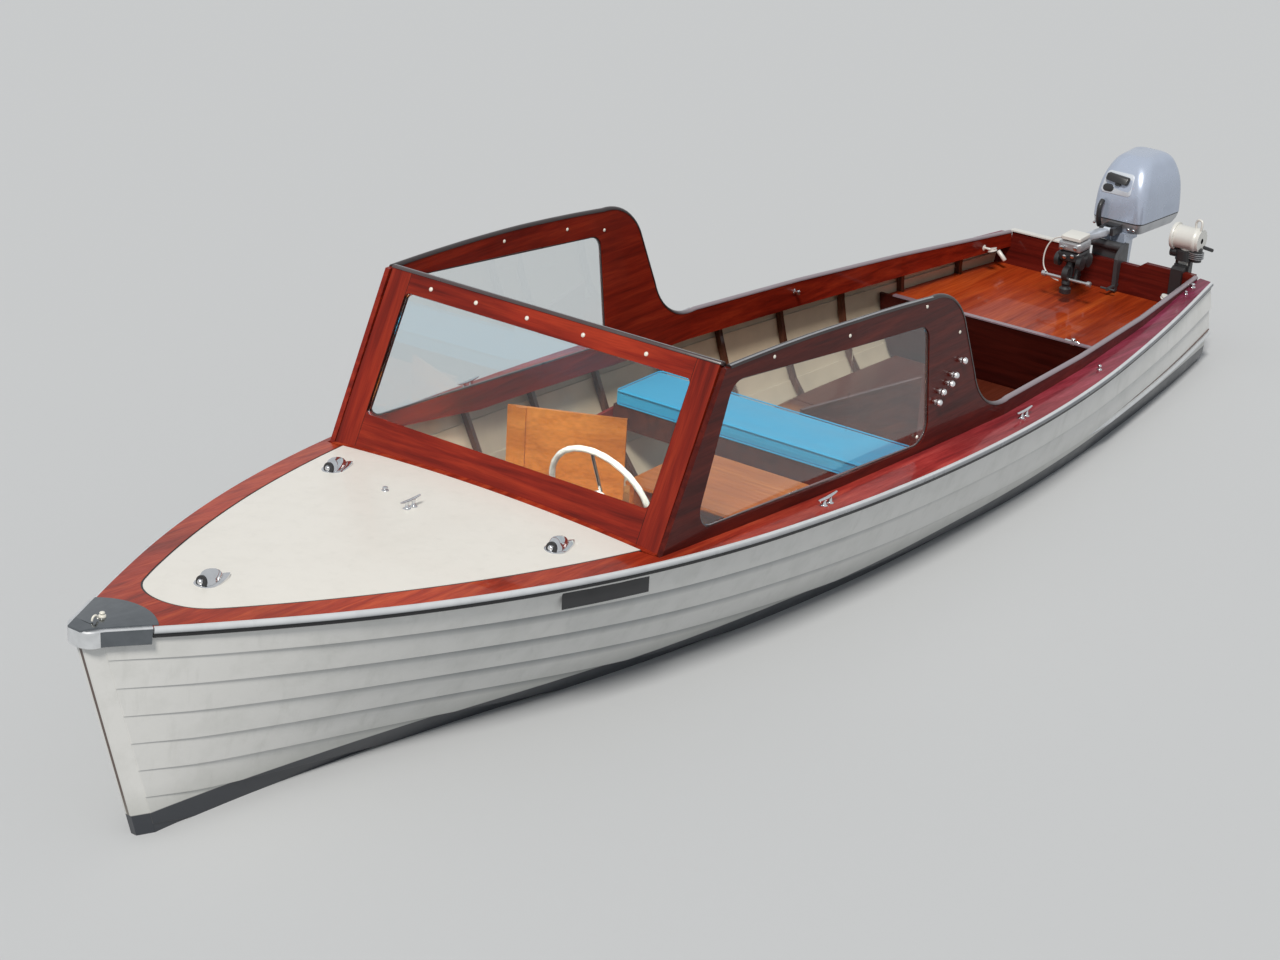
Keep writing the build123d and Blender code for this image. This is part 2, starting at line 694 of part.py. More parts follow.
def nose_band():
    """Bright band round the head of the stem, in line with the side bands."""
    top = STATIONS[-1][3] + DECK_THICK
    rings = []
    for z in (top - BAND_HIGH, top - 0.3):
        back, back_half, front, edge = stem_at(z)
        inner = [(front + 0.3, edge + 0.3), (back, back_half + 0.6)]
        outer = [(back, back_half + 12), (front + 3.6, edge + 7)]
        port = [(x, y, z) for x, y in inner + outer]
        rings.append(port + [(x, -y, z) for x, y, _ in port[::-1]])
    return ruled(rings)


def teardrop(x, y, deck_deep):
    """Low drop-shaped deck fitting with a ball at its forward end."""
    z = deck_z(x, y)
    ring = [(x + 30, y), (x + 22, y + 20), (x, y + 28), (x - 60, y + 14), (x - 90, y),
            (x - 60, y - 14), (x, y - 28), (x + 22, y - 20)]
    low = [(a, b, z - 9.0) for a, b in ring]
    top = [(lerp(x - 8, a, 0.6), lerp(y, b, 0.6), z + 16) for a, b in ring]
    return ruled([low, top]) - deck_deep


def cleat(x, y, length):
    """Two-horned cleat on two short feet."""
    reach = length / 6
    out = Pos(x, y, deck_z(x, y) + 25) * Rot(0, 90, 0) * Cylinder(6, length)
    for a in (x - reach, x + reach):
        low = max(deck_z(a + 6, y), deck_z(a, abs(y) - 6)) + 0.2
        out = out + Pos(a, y, 0) * extrude(Pos(0, 0, low) * Circle(6), deck_z(a, y) + 25 - low)
    return out


# Cockpit

def floorboards():
    """Three floor panels with gaps between them."""
    out = []
    ends = [AFT_BULKHEAD_X + 30, FRAME_FIRST + 3.3 * FRAME_SPACING, FRAME_FIRST + 6.475 * FRAME_SPACING,
            SCREEN_X - 134]
    for x0, x1 in zip(ends[:-1], ends[1:]):
        x1 = x1 - 10
        xs = [x0 + (x1 - x0) * k / 4 for k in range(5)]
        side = [(x, inner_half(x, FLOOR_Z - FLOOR_THICK - 30) - 24) for x in xs]
        out.append(prism_z(side + [(x, -y) for x, y in side[::-1]], FLOOR_Z - FLOOR_THICK, FLOOR_Z))
    return Compound(children=out)


def bench():
    """Thwart board with a front rail."""
    x0, x1 = SEAT_X
    half0 = inner_half(x0, SEAT_Z - 90) - 32
    half1 = inner_half(x1, SEAT_Z - 90) - 32
    half = min(half0, half1)
    top = block(x0, x1, -half, half, SEAT_Z - SEAT_BOARD, SEAT_Z)
    rail_half = riser_face(x1, RISER_WIDE) - FIT_GAP
    rail = block(x1 - 22, x1, -rail_half, rail_half, SEAT_Z - 90, SEAT_Z)
    return top + rail, half


def bench_cushion(half):
    """Flat cushion over the thwart with round corners."""
    x0, x1 = SEAT_X
    slab = block(x0 + 4, x1 + 6, -half + 6, half - 6, SEAT_Z + 0.3, SEAT_Z + CUSHION_THICK)
    return fillet(slab.edges().filter_by(Axis.Z), 20)


def driver_seat():
    """Plywood seat on three dark side boards that stand on the floor."""
    x0, x1 = DRIVER_SEAT_X
    y0, y1 = DRIVER_SEAT_Y
    z = DRIVER_SEAT_Z
    top = block(x0, x1, y0, y1, z - SEAT_PLY, z)
    walls = [
        block(x0 + 12, x0 + 28, y0 + 12, y1 - 12, FLOOR_Z, z - SEAT_PLY),
        block(x0 + 12, x1 - 12, y0 + 12, y0 + 28, FLOOR_Z, z - SEAT_PLY),
        block(x0 + 12, x1 - 12, y1 - 28, y1 - 12, FLOOR_Z, z - SEAT_PLY),
    ]
    for wall in walls:
        top = top + wall
    return top


def upright_board(start, end, thick, corners):
    """Board on edge along a plan line; corners are (share of the line, height)."""
    run = math.hypot(end[0] - start[0], end[1] - start[1])
    normal = (-(end[1] - start[1]) / run, (end[0] - start[0]) / run, 0)
    ring = [(lerp(start[0], end[0], share), lerp(start[1], end[1], share), z) for share, z in corners]
    return extrude(face_of(ring), thick, dir=normal)


def passenger_board():
    """Upright plywood back board on the starboard side with a batten up its outer edge."""
    start, end = PASSENGER_BOARD
    knee = PASSENGER_TOP - 330
    board = upright_board(start, end, SEAT_PLY,
                          [(0, PASSENGER_TOP), (1, PASSENGER_TOP), (1, FLOOR_Z), (0.45, FLOOR_Z), (0, knee)])
    batten = upright_board(start, end, -10, [(0.08, PASSENGER_TOP), (0.16, PASSENGER_TOP), (0.16, knee), (0.08, knee)])
    return board + batten


def locker_board():
    """Dark board on edge behind the bench."""
    start, end = LOCKER_BOARD
    return upright_board(start, end, RISER_WIDE, [(0, LOCKER_TOP), (1, LOCKER_TOP), (1, FLOOR_Z), (0, FLOOR_Z)])


def aft_deck():
    """Deck from the bulkhead to the transom, notched round the frames."""
    x0, x1 = TRANSOM_X + TRANSOM_THICK, AFT_BULKHEAD_X
    xs = [lerp(x0, x1, k / 3) for k in range(4)]
    side = [(x, inner_half(x, AFT_DECK_Z - AFT_DECK_THICK) - PLANK_GAP) for x in xs]
    deck = prism_z(side + [(x, -y) for x, y in side[::-1]], AFT_DECK_Z - AFT_DECK_THICK, AFT_DECK_Z)
    for k in range(2):
        x = FRAME_FIRST + k * FRAME_SPACING
        half = inner_half(x, AFT_DECK_Z) - FRAME_MOULDED - PLANK_GAP
        for edge in (half, -half - 100):
            deck = deck - block(x - 2, x + FRAME_SIDED + 2, edge, edge + 100, AFT_DECK_Z - 20, AFT_DECK_Z + 1)
    return deck


def aft_bulkhead():
    """Cross board ahead of the after deck; its foot stands on the keel."""
    x = AFT_BULKHEAD_X
    top = AFT_DECK_Z + BULKHEAD_ABOVE
    keel_top = station_at(x)[4] + KEEL_RISE + 0.2
    side = [(KEEL_HALF - 4, keel_top), (KEEL_HALF - 4, -110)]
    side += [(inner_half(x, z) - PLANK_GAP, z) for z in (-110, -60, 0, 100, 190, top)]
    ring = side + [(-y, z) for y, z in side[::-1]]
    return extrude(face_of([(x, y, z) for y, z in ring]), BULKHEAD_THICK, dir=(1, 0, 0))


# Steering

def wheel_plane():
    """Plane of the steering wheel, facing the driver."""
    tilt = math.radians(WHEEL_TILT)
    return Plane(origin=WHEEL, x_dir=(0, 1, 0), z_dir=(-math.cos(tilt), 0, math.sin(tilt)))


def steering_wheel():
    """Thin round rim on three spokes and a hub."""
    plane = wheel_plane()
    rim = plane * Torus(WHEEL_RADIUS, RIM_RADIUS)
    hub = plane * (Pos(0, 0, -12) * Cylinder(34, 36))
    out = rim + hub
    for k in range(SPOKES):
        angle = math.radians(90 + 360 * k / SPOKES)
        end = plane.from_local_coords((WHEEL_RADIUS * math.cos(angle), WHEEL_RADIUS * math.sin(angle), 0))
        start = plane.from_local_coords((0, 0, -8))
        out = out + rod(start, end, SPOKE_RADIUS)
    return out


def dash_board():
    """Cross board under the deck's after edge, its top cut to the crown."""
    x = DASH_X
    low = [(inner_half(x, z) - 14, z) for z in (DASH_LOW, lerp(DASH_LOW, sheer_z(x), 0.5))]
    half = sheer_half(x)
    crown = DECK_CROWN * half / CROWN_AT
    edge = board_half(x) - BOARD_THICK - FIT_GAP
    top = [(edge, sheer_z(x) + crown * (1 - (edge / half) ** 2) - 3)]
    for k in range(CROWN_STEPS - 1, -1, -1):
        share = k / CROWN_STEPS
        top.append((share * half, sheer_z(x) + crown * (1 - share ** 2) - 0.3))
    ring = low + top
    ring = ring + [(-y, z) for y, z in ring[-2::-1]]
    return extrude(face_of([(x, y, z) for y, z in ring]), DASH_THICK, dir=(1, 0, 0))


def steering_column():
    """Shaft from the wheel's hub to a round boss on the dash."""
    plane = wheel_plane()
    start = plane.from_local_coords((0, 0, -30.4))
    way = plane.z_dir * -1
    reach = (start.X - DASH_X) / -way.X
    out = rod(start, start + way * (reach + 20), 14) + rod(start + way * (reach - 26), start + way * (reach + 20), 36)
    return out & block(0, DASH_X - 0.3, -CUT_SIDE, CUT_SIDE, 0, CUT_HIGH)


# Outboard motor

def clamp_bracket():
    """Two clamp arms over the transom, each with a screw, and the tilt tube."""
    inside = TRANSOM_X + TRANSOM_THICK
    out = rod((TILT_X, -98, TILT_Z), (TILT_X, 98, TILT_Z), 9)
    for y in (-92, 92):
        profile = [(TRANSOM_X - 26, 90), (TRANSOM_X - 0.3, 90), (TRANSOM_X - 0.3, MOTOR_CUT_Z + 0.3),
                   (inside + 4, MOTOR_CUT_Z + 0.3), (inside + 14, 226), (inside + 36, 226),
                   (inside + 40, 372), (inside + 24, 400), (TRANSOM_X + 8, 428), (TRANSOM_X - 26, 428)]
        out = out + prism_y(profile, y - 9, y + 9)
        out = out + rod((inside + 0.3, y, 250), (inside + 96, y, 250), 8)
        out = out + rod((inside + 88, y - 34, 250), (inside + 88, y + 34, 250), 5)
    return out


def swivel_bracket():
    """Cast bracket that hangs from the tilt tube and carries the steering tube."""
    eye = rod((TILT_X, -80, TILT_Z), (TILT_X, 80, TILT_Z), 20)
    eye = eye - rod((TILT_X, -90, TILT_Z), (TILT_X, 90, TILT_Z), 9.4)
    web = block(STEER_X + 20, TILT_X, -62, 62, 300, 400)
    tube = Pos(STEER_X, 0, 257.5) * Cylinder(30, 304)
    out = eye + web + tube
    out = out - rod((TILT_X, -90, TILT_Z), (TILT_X, 90, TILT_Z), 9.4)
    return out - Pos(STEER_X, 0, 256) * Cylinder(17, 400)


def motor_leg():
    """Steering head, mid-section, plates, gearcase and skeg."""
    shaft = rod((STEER_X, 0, 60), (STEER_X, 0, 449), 16.5)
    head = block(STEER_X - 120, STEER_X + 12, -56, 56, 410, 450)
    foot = block(STEER_X - 140, STEER_X + 30, -34, 34, 50, 84)
    mid = ruled([
        [(STEER_X - 150, -26, 440), (STEER_X - 150, 26, 440), (STEER_X - 52, 40, 440), (STEER_X - 52, -40, 440)],
        [(STEER_X - 130, -16, -60), (STEER_X - 130, 16, -60), (STEER_X - 46, 24, -60), (STEER_X - 46, -24, -60)],
    ])
    low_mid = ruled([
        [(STEER_X - 150, -20, 60), (STEER_X - 150, 20, 60), (STEER_X + 10, 22, 60), (STEER_X + 10, -22, 60)],
        [(STEER_X - 130, -12, -250), (STEER_X - 130, 12, -250), (STEER_X - 6, 14, -250), (STEER_X - 6, -14, -250)],
    ])
    plate = prism_z([(STEER_X + 24, -30), (STEER_X + 24, 30), (STEER_X - 120, 72), (STEER_X - 250, 62),
                     (STEER_X - 270, 0), (STEER_X - 250, -62), (STEER_X - 120, -72)], -152, -144)
    case = Pos(STEER_X - 50, 0, PROP_Z) * Rot(0, 90, 0) * Cylinder(34, 180)
    nose = Pos(STEER_X + 40, 0, PROP_Z) * Sphere(34)
    strut = block(STEER_X - 110, STEER_X + 4, -12, 12, PROP_Z, -240)
    skeg = prism_y([(STEER_X + 14, PROP_Z - 20), (STEER_X - 110, PROP_Z - 20), (STEER_X - 128, PROP_Z - 128),
                    (STEER_X - 84, PROP_Z - 128)], -5, 5)
    return shaft + head + mid + low_mid + foot + plate + case + nose + strut + skeg


def propeller(hub_x, z, radius, hub, length, y=0.0):
    """Bladed screw on its hub; each blade is a twisted loft."""
    body = Pos(hub_x, y, z) * Rot(0, 90, 0) * Cylinder(hub, length)
    for k in range(BLADES):
        sections = []
        for r, chord, pitch in ((hub * 0.7, 0.42, 52), (radius * 0.6, 0.62, 36), (radius * 0.94, 0.42, 25)):
            half = chord * radius / 2
            a = math.radians(pitch)
            ring = []
            for u, v in ((-half, -2.2), (half, -2.2), (half, 2.2), (-half, 2.2)):
                ring.append((u * math.sin(a) + v * math.cos(a), u * math.cos(a) - v * math.sin(a), r))
            sections.append(ring)
        blade = ruled(sections)
        body = body + Pos(hub_x, y, z) * Rot(360 * k / BLADES, 0, 0) * blade
    return body


def cowl_ring(z, size, shift, corner):
    """Outline of the cowl at a height: narrower in front, with round corners."""
    back = COWL_FRONT - COWL_LENGTH * (1 + size) / 2 + shift
    front = COWL_FRONT - COWL_LENGTH * (1 - size) / 2 + shift
    wide = COWL_WIDE * size / 2
    narrow = wide * COWL_NOSE
    ring = FilletPolyline((front, -narrow, z), (front, narrow, z), (back, wide, z), (back, -wide, z),
                          radius=corner * size, close=True)
    return make_face(ring)


def motor_pan():
    """Shallow pan under the cowl, narrower at its foot."""
    z = MOTOR_PAN_Z
    return loft([cowl_ring(z, 0.86, 6, 44), cowl_ring(z + 52, 0.99, 0, 44)])


def motor_cowl():
    """Cowl that leans in towards a rounded top."""
    z = MOTOR_PAN_Z + 52.3
    rows = [(0, 1.0, 0, 44), (125, 0.965, -4, 52), (200, 0.84, -12, 62), (245, 0.68, -20, 74), (268, 0.46, -24, 80)]
    return loft([cowl_ring(z + high, size, shift, corner) for high, size, shift, corner in rows])


def tiller_arm():
    """Steering arm ahead of the motor with a drop link and a cross bar."""
    root = (TILLER_X, 0, TILLER_Z)
    elbow = (TRANSOM_X + 318, 0, TILLER_Z + 20)
    eye = rod((TILLER_X, -17, TILLER_Z), (TILLER_X, 17, TILLER_Z), 15)
    arm = rod(root, elbow, 13)
    knuckle = Pos(*elbow) * Sphere(24)
    drop = rod(elbow, (TRANSOM_X + 352, 0, 322), 17)
    bar = rod((TRANSOM_X + 348, -110, 330), (TRANSOM_X + 348, 110, 330), 8)
    pin = rod((TILLER_X, -20, TILLER_Z), (TILLER_X, 20, TILLER_Z), 6.3)
    return (eye + arm + knuckle + drop + bar) - pin


def steering_bracket():
    """Fork on the motor that carries the steering arm."""
    base = block(STEER_X - 4, STEER_X + 46, -34, 34, 450, 488)
    cheeks = [block(STEER_X + 46, TILLER_X + 14, y - 8, y + 8, 454, 486) for y in (-26, 26)]
    pin = rod((TILLER_X, -26, TILLER_Z), (TILLER_X, 26, TILLER_Z), 6)
    return base + cheeks[0] + cheeks[1] + pin


# Auxiliary motor on the port side of the transom

def aux_clamp():
    """Clamp over the transom with two ears for the tilt pin and one screw."""
    x = TRANSOM_X
    y = AUX_Y
    out = prism_y([(x + TRANSOM_THICK + 3, 398), (x + TRANSOM_THICK + 22, 388), (x + TRANSOM_THICK + 22, 250),
                   (x + TRANSOM_THICK + 5, 250), (x + TRANSOM_THICK + 5, 374.3), (x - 0.5, 374.3), (x - 0.5, 200),
                   (x - 12, 200), (x - 12, 398)], y - 26, y + 26)
    for side in (-1, 1):
        out = out + block(AUX_TILT_X - 12, x - 11, y + side * 30 - 5, y + side * 30 + 5, 360, 416)
    out = out + rod((AUX_TILT_X, y - 34, AUX_TILT_Z), (AUX_TILT_X, y + 34, AUX_TILT_Z), 5)
    out = out + block(x - 12, x - 0.5, y - 35, y + 35, 360, 398)
    screw = rod((x + TRANSOM_THICK + 0.3, y, 280), (x + TRANSOM_THICK + 66, y, 280), 6)
    handle = rod((x + TRANSOM_THICK + 60, y - 26, 280), (x + TRANSOM_THICK + 60, y + 26, 280), 5)
    return out + screw + handle


def aux_motor():
    """Drum-headed motor on a slim column with a small gearcase."""
    y = AUX_Y
    x = AUX_SHAFT_X
    eye = rod((AUX_TILT_X, y - 23, AUX_TILT_Z), (AUX_TILT_X, y + 23, AUX_TILT_Z), 11)
    lug = block(x - 10, AUX_TILT_X, y - 18, y + 18, 386, 426)
    pin = rod((AUX_TILT_X, y - 30, AUX_TILT_Z), (AUX_TILT_X, y + 30, AUX_TILT_Z), 5.4)
    column = rod((x, y, 470), (x, y, AUX_PROP_Z), 15)
    neck = Pos(x + 18, y, 452) * Cylinder(30, 44)
    drum = Pos(x + 18, y, 512) * Rot(90, 0, 0) * Cylinder(50, 128)
    flange = Pos(x + 18, y - 58, 512) * Rot(90, 0, 0) * Cylinder(60, 10)
    case = Pos(x - 16, y, AUX_PROP_Z) * Rot(0, 90, 0) * Cylinder(24, 110)
    skeg = prism_y([(x + 10, AUX_PROP_Z - 16), (x - 60, AUX_PROP_Z - 16), (x - 56, AUX_PROP_Z - 84),
                    (x - 34, AUX_PROP_Z - 84)], y - 3, y + 3)
    return (eye + lug - pin) + column + neck + drum + flange + case + skeg


def riser_face(x, inward):
    """Half breadth of a seat riser's face against the frames, or inward of it."""
    low, high = SEAT_Z - SEAT_BOARD - RISER_HIGH, SEAT_Z - SEAT_BOARD
    ends = []
    for place in RISER_FRAMES:
        ends.append(min(frame_face(a, z) for a in (place, place + FRAME_SIDED) for z in (low, high)))
    return lerp(ends[0], ends[1], (x - RISER_FRAMES[0]) / (RISER_FRAMES[1] - RISER_FRAMES[0])) + 0.6 - inward


def seat_risers():
    """Fore-and-aft strips inside the frames that carry the thwart."""
    out = []
    for side in (1, -1):
        top = SEAT_Z - SEAT_BOARD
        xs = [SEAT_X[0] - 50, RISER_FRAMES[0], RISER_FRAMES[1], RISER_FRAMES[1] + 300]
        outer = [(x, side * riser_face(x, 0)) for x in xs]
        inner = [(x, side * riser_face(x, RISER_WIDE)) for x in xs]
        out.append(prism_z(outer + inner[::-1], top - RISER_HIGH, top))
    return Compound(children=out)


PIECES = {}


def save(name, shape):
    """Keep a finished piece under its node's name."""
    PIECES[name] = shape


def build():
    """Make every piece of the boat."""
    deck = whole_deck()
    deck_deep = whole_deck(140.0)
    for side, word in ((1, "port"), (-1, "starboard")):
        save("planking_" + word, planking(side))
        save("rub_rail_" + word, rub_rail(side))
        save("covering_board_" + word, covering_board(side, deck))
        save("side_board_" + word, side_board(side))
        save("side_glass_" + word, side_glass(side))
    save("foredeck_panel", foredeck())
    save("stem", stem())
    save("keel", keel())
    save("transom", transom())
    save("frames", frames())
    save("windscreen_frame", windscreen_frame(deck_deep))
    save("windscreen_glass", windscreen_glass())
    save("windscreen_cap", windscreen_cap())
    save("bow_cap", bow_cap())
    save("floorboards", floorboards())
    seat, half = bench()
    save("bench", seat)
    save("bench_cushion", bench_cushion(half))
    save("aft_deck", aft_deck())
    save("aft_bulkhead", aft_bulkhead())
    save("dash_board", dash_board())
    save("steering_column", steering_column())
    save("steering_wheel", steering_wheel())
    save("deck_drops", Compound(children=[teardrop(x, y, deck_deep) for x, y in DROPS]))
    save("cleats", Compound(children=[cleat(x, y, length) for x, y, length in CLEATS]))
    save("driver_seat", driver_seat())
    save("passenger_board", passenger_board())
    save("locker_board", locker_board())
    save("bow_bands", nose_band() + bow_band(1) + bow_band(-1))
    save("clamp_bracket", clamp_bracket())
    save("swivel_bracket", swivel_bracket())
    save("motor_leg", motor_leg())
    save("motor_pan", motor_pan())
    save("motor_cowl", motor_cowl())
    save("motor_propeller", propeller(PROP_X, PROP_Z, PROP_RADIUS, 30, 60))
    save("steering_bracket", steering_bracket())
    save("tiller_arm", tiller_arm())
    save("seat_risers", seat_risers())
    save("aux_clamp", aux_clamp())
    save("aux_motor", aux_motor())
    save("aux_propeller", propeller(AUX_SHAFT_X - 89.3, AUX_PROP_Z, AUX_PROP_RADIUS, 18, 36, AUX_Y))


build()
os.makedirs("parts", exist_ok=True)
for name, shape in PIECES.items():
    export_step(shape, "parts/" + name + ".step")
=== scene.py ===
import math

import bmesh
import bpy
import numpy as np
from mathutils import Matrix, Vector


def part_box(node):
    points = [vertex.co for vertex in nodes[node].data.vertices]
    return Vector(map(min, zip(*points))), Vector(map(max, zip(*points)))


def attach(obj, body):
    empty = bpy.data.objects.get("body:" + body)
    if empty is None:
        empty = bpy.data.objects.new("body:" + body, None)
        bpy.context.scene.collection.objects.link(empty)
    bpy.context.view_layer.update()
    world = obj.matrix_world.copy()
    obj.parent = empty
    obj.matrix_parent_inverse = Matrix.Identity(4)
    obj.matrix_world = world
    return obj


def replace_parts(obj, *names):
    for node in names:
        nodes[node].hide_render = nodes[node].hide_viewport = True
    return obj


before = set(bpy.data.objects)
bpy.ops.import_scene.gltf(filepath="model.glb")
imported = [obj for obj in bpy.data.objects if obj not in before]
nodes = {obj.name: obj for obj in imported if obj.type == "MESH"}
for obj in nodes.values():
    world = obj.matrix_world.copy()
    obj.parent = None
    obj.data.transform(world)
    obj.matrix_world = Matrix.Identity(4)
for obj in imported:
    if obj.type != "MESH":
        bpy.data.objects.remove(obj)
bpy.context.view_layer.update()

# Hull table, as in the part's source but in metres.
# Columns: x at the sheer, x at the keel, half beam, sheer height, rabbet height,
# bilge power, fall-in of the side, share of a lap that stands out
STATIONS = np.array([
    (-3.000, -3.000, .500, .346, -.105, .150, .27, 1.0),
    (-2.500, -2.500, .590, .350, -.135, .165, .19, 1.0),
    (-2.000, -2.000, .672, .360, -.160, .180, .12, 1.0),
    (-1.500, -1.500, .742, .374, -.180, .200, .07, 1.0),
    (-1.000, -1.000, .788, .392, -.192, .225, .03, 1.0),
    (-0.500, -0.500, .808, .414, -.198, .255, .00, 1.0),
    (0.000, 0.000, .806, .441, -.200, .300, .00, 1.0),
    (0.500, 0.500, .780, .472, -.196, .370, .00, 1.0),
    (1.000, 1.000, .728, .508, -.188, .470, .00, 1.0),
    (1.450, 1.430, .645, .545, -.176, .600, .00, 1.0),
    (1.900, 1.840, .520, .586, -.160, .760, .00, 0.9),
    (2.320, 2.230, .358, .626, -.138, .900, .00, 0.7),
    (2.680, 2.540, .182, .662, -.108, 1.00, .00, 0.5),
    (2.950, 2.745, .034, .690, -.062, 1.00, .00, 0.2),
])
STRAKES = 8
PLANK = 0.011
LAP = 0.020
LEAST_STAND = 0.2
SKIN_GAP = 0.0004
FACE_POINTS = 9
LAP_SHADE_REACH = 1.18
FINE = 4
KEEL_HALF = 0.024
DECK = 0.010
CROWN = 0.034
CROWN_AT = 0.790
BOARD = 0.018
BOARD_PLAN = np.array([(1.32, .669), (.30, .700), (-.80, .703), (-1.50, .655), (-2.20, .578), (-2.97, .462)])
SCREEN_X, SCREEN_Z, SCREEN_HALF = 1.284, 0.536, 0.650
SCREEN_TOP = 1.078
RAKE = math.radians(27.0)
STERN_X = -2.999
PAINT_LINE = 0.070
STILE_LINE = 0.568
ALONG, ACROSS, UP = np.eye(3)


def unit(vectors):
    """Vectors made one long."""
    vectors = np.asarray(vectors, float)
    return vectors / np.linalg.norm(vectors, axis=-1, keepdims=True)


# Camera and light

def placed(name, data, columns):
    """Camera or lamp with its matrix's columns: right, up, back and place."""
    obj = bpy.data.objects.new(name, data)
    bpy.context.scene.collection.objects.link(obj)
    matrix = np.eye(4)
    matrix[:3] = np.column_stack(columns)
    obj.matrix_world = Matrix(matrix.tolist())
    return obj


def look_from(name, place, yaw, pitch, roll, lens):
    """Camera at a place, turned by yaw about Z, tipped by pitch and rolled."""
    yaw, pitch, roll = (math.radians(a) for a in (yaw, pitch, roll))
    ahead = np.array([math.cos(pitch) * math.cos(yaw), math.cos(pitch) * math.sin(yaw), math.sin(pitch)])
    level = unit(np.cross(ahead, UP))
    upright = np.cross(level, ahead)
    right = math.cos(roll) * level + math.sin(roll) * upright
    up = math.cos(roll) * upright - math.sin(roll) * level
    data = bpy.data.cameras.new(name)
    data.sensor_width = 36.0
    data.sensor_fit = "HORIZONTAL"
    data.lens = lens
    data.clip_end = 200.0
    return placed(name, data, (right, up, -ahead, place))


def sun_light(name, place, soft, power, colour):
    """Even light from the side of a place, with soft-edged shadows."""
    data = bpy.data.lights.new(name, "SUN")
    data.angle = math.radians(soft)
    data.energy = power
    data.color = colour
    back = unit(place)
    side = unit(np.cross(UP, back))
    return placed(name, data, (side, np.cross(back, side), back, place))


# Nodes of the materials

def node(tree, kind, inputs=(), **settings):
    """New node of a kind with its settings; each input is linked to a socket or set to a value."""
    new = tree.nodes.new("ShaderNode" + kind)
    for name, value in settings.items():
        setattr(new, name, value)
    for key, value in dict(inputs).items():
        if hasattr(value, "links"):
            tree.links.new(value, new.inputs[key])
        else:
            new.inputs[key].default_value = value
    return new


def maths(tree, operation, a, b=0.0):
    """One sum on one or two values."""
    return node(tree, "Math", {0: a, 1: b}, operation=operation).outputs[0]


def mixed(tree, how, share, a, b):
    """Mix of two colours, each a socket or a fixed colour."""
    a, b = (value if hasattr(value, "links") else (*value, 1) for value in (a, b))
    return node(tree, "Mix", {0: share, 6: a, 7: b}, data_type="RGBA", blend_type=how).outputs[2]


def scaled(tree, value, low, high, to_low, to_high):
    """A value carried from one range to another, kept inside it."""
    inputs = {"Value": value, "From Min": low, "From Max": high, "To Min": to_low, "To Max": to_high}
    return node(tree, "MapRange", inputs).outputs["Result"]


def ramp(tree, value, stops):
    """Colour ramp; stops are (place, colour)."""
    new = node(tree, "ValToRGB", {"Fac": value})
    band = new.color_ramp
    while len(band.elements) < len(stops):
        band.elements.new(0.5)
    for element, (place, colour) in zip(band.elements, stops):
        element.position = place
        element.color = (*colour, 1)
    return new.outputs["Color"]


def object_coords(tree, stretch=(1, 1, 1)):
    """Object coordinates, stretched."""
    coord = node(tree, "TexCoord").outputs["Object"]
    return node(tree, "Mapping", {"Vector": coord, "Scale": stretch}).outputs["Vector"]


def place_along(tree, axis="X", output="Object"):
    """One part of the object coordinates or of the object's normal."""
    coord = node(tree, "TexCoord").outputs[output]
    return node(tree, "SeparateXYZ", {0: coord}).outputs[axis]


def noise(tree, vector, scale, detail=4.0, rough=0.55, twist=0.0):
    """Soft noise from 0 to 1 on a vector."""
    inputs = {"Vector": vector, "Scale": scale, "Detail": detail, "Roughness": rough, "Distortion": twist}
    return node(tree, "TexNoise", inputs).outputs["Fac"]


def own_value(tree, name):
    """Value of one of the piece's own attributes."""
    return node(tree, "Attribute", attribute_name=name).outputs["Fac"]


def bumped(tree, shader, height, strength, distance):
    """Bump on a shader, raised where the height is large."""
    bump = node(tree, "Bump", {"Strength": strength, "Distance": distance, "Height": height})
    tree.links.new(bump.outputs["Normal"], shader.inputs["Normal"])


def seen_directly(tree):
    """1 for camera, mirror and glass rays, 0 for the rays that carry light from surface to surface."""
    path = node(tree, "LightPath").outputs
    clear = maths(tree, "MAXIMUM", path["Is Camera Ray"], path["Is Transmission Ray"])
    return maths(tree, "MAXIMUM", clear, path["Is Glossy Ray"])


def pale_world(level, colour, background):
    """Even light of a level and colour on the object; camera and reflections see a pale background."""
    world = bpy.data.worlds.new("studio_world")
    world.use_nodes = True
    bpy.context.scene.world = world
    tree = world.node_tree
    tree.nodes.clear()
    soft = node(tree, "Background", {"Color": (*colour, 1), "Strength": level}).outputs[0]
    seen = node(tree, "Background", {"Color": (*background, 1)}).outputs[0]
    mix = node(tree, "MixShader", {0: seen_directly(tree), 1: soft, 2: seen}).outputs[0]
    node(tree, "OutputWorld", {0: mix})


# Finishes

GRAIN = 0.055
GRAIN_WAYS = {"x": (GRAIN, 1, 1), "y": (1, GRAIN, 1), "z": (1, 1, GRAIN), "frame": (1, GRAIN, 1)}


def blank(name, colour, rough=0.4, metal=0.0, coat=0.0, coat_rough=0.05):
    """New material; returns it with its node tree and shader."""
    mat = bpy.data.materials.new(name)
    mat.use_nodes = True
    mat.diffuse_color = (*colour, 1)
    shader = mat.node_tree.nodes["Principled BSDF"]
    values = {"Base Color": (*colour, 1), "Roughness": rough, "Metallic": metal, "Coat Weight": coat,
              "Coat Roughness": coat_rough}
    for socket, value in values.items():
        shader.inputs[socket].default_value = value
    return mat, mat.node_tree, shader


def stile_share(tree):
    """Share that is 1 on the screen's stiles, and another that is 1 on the joint line beside them."""
    away = maths(tree, "SUBTRACT", maths(tree, "ABSOLUTE", place_along(tree, "Y")), STILE_LINE)
    upright = scaled(tree, away, -0.0002, 0.0002, 0.0, 1.0)
    return upright, scaled(tree, maths(tree, "ABSOLUTE", away), 0.0006, 0.0014, 1.0, 0.0)


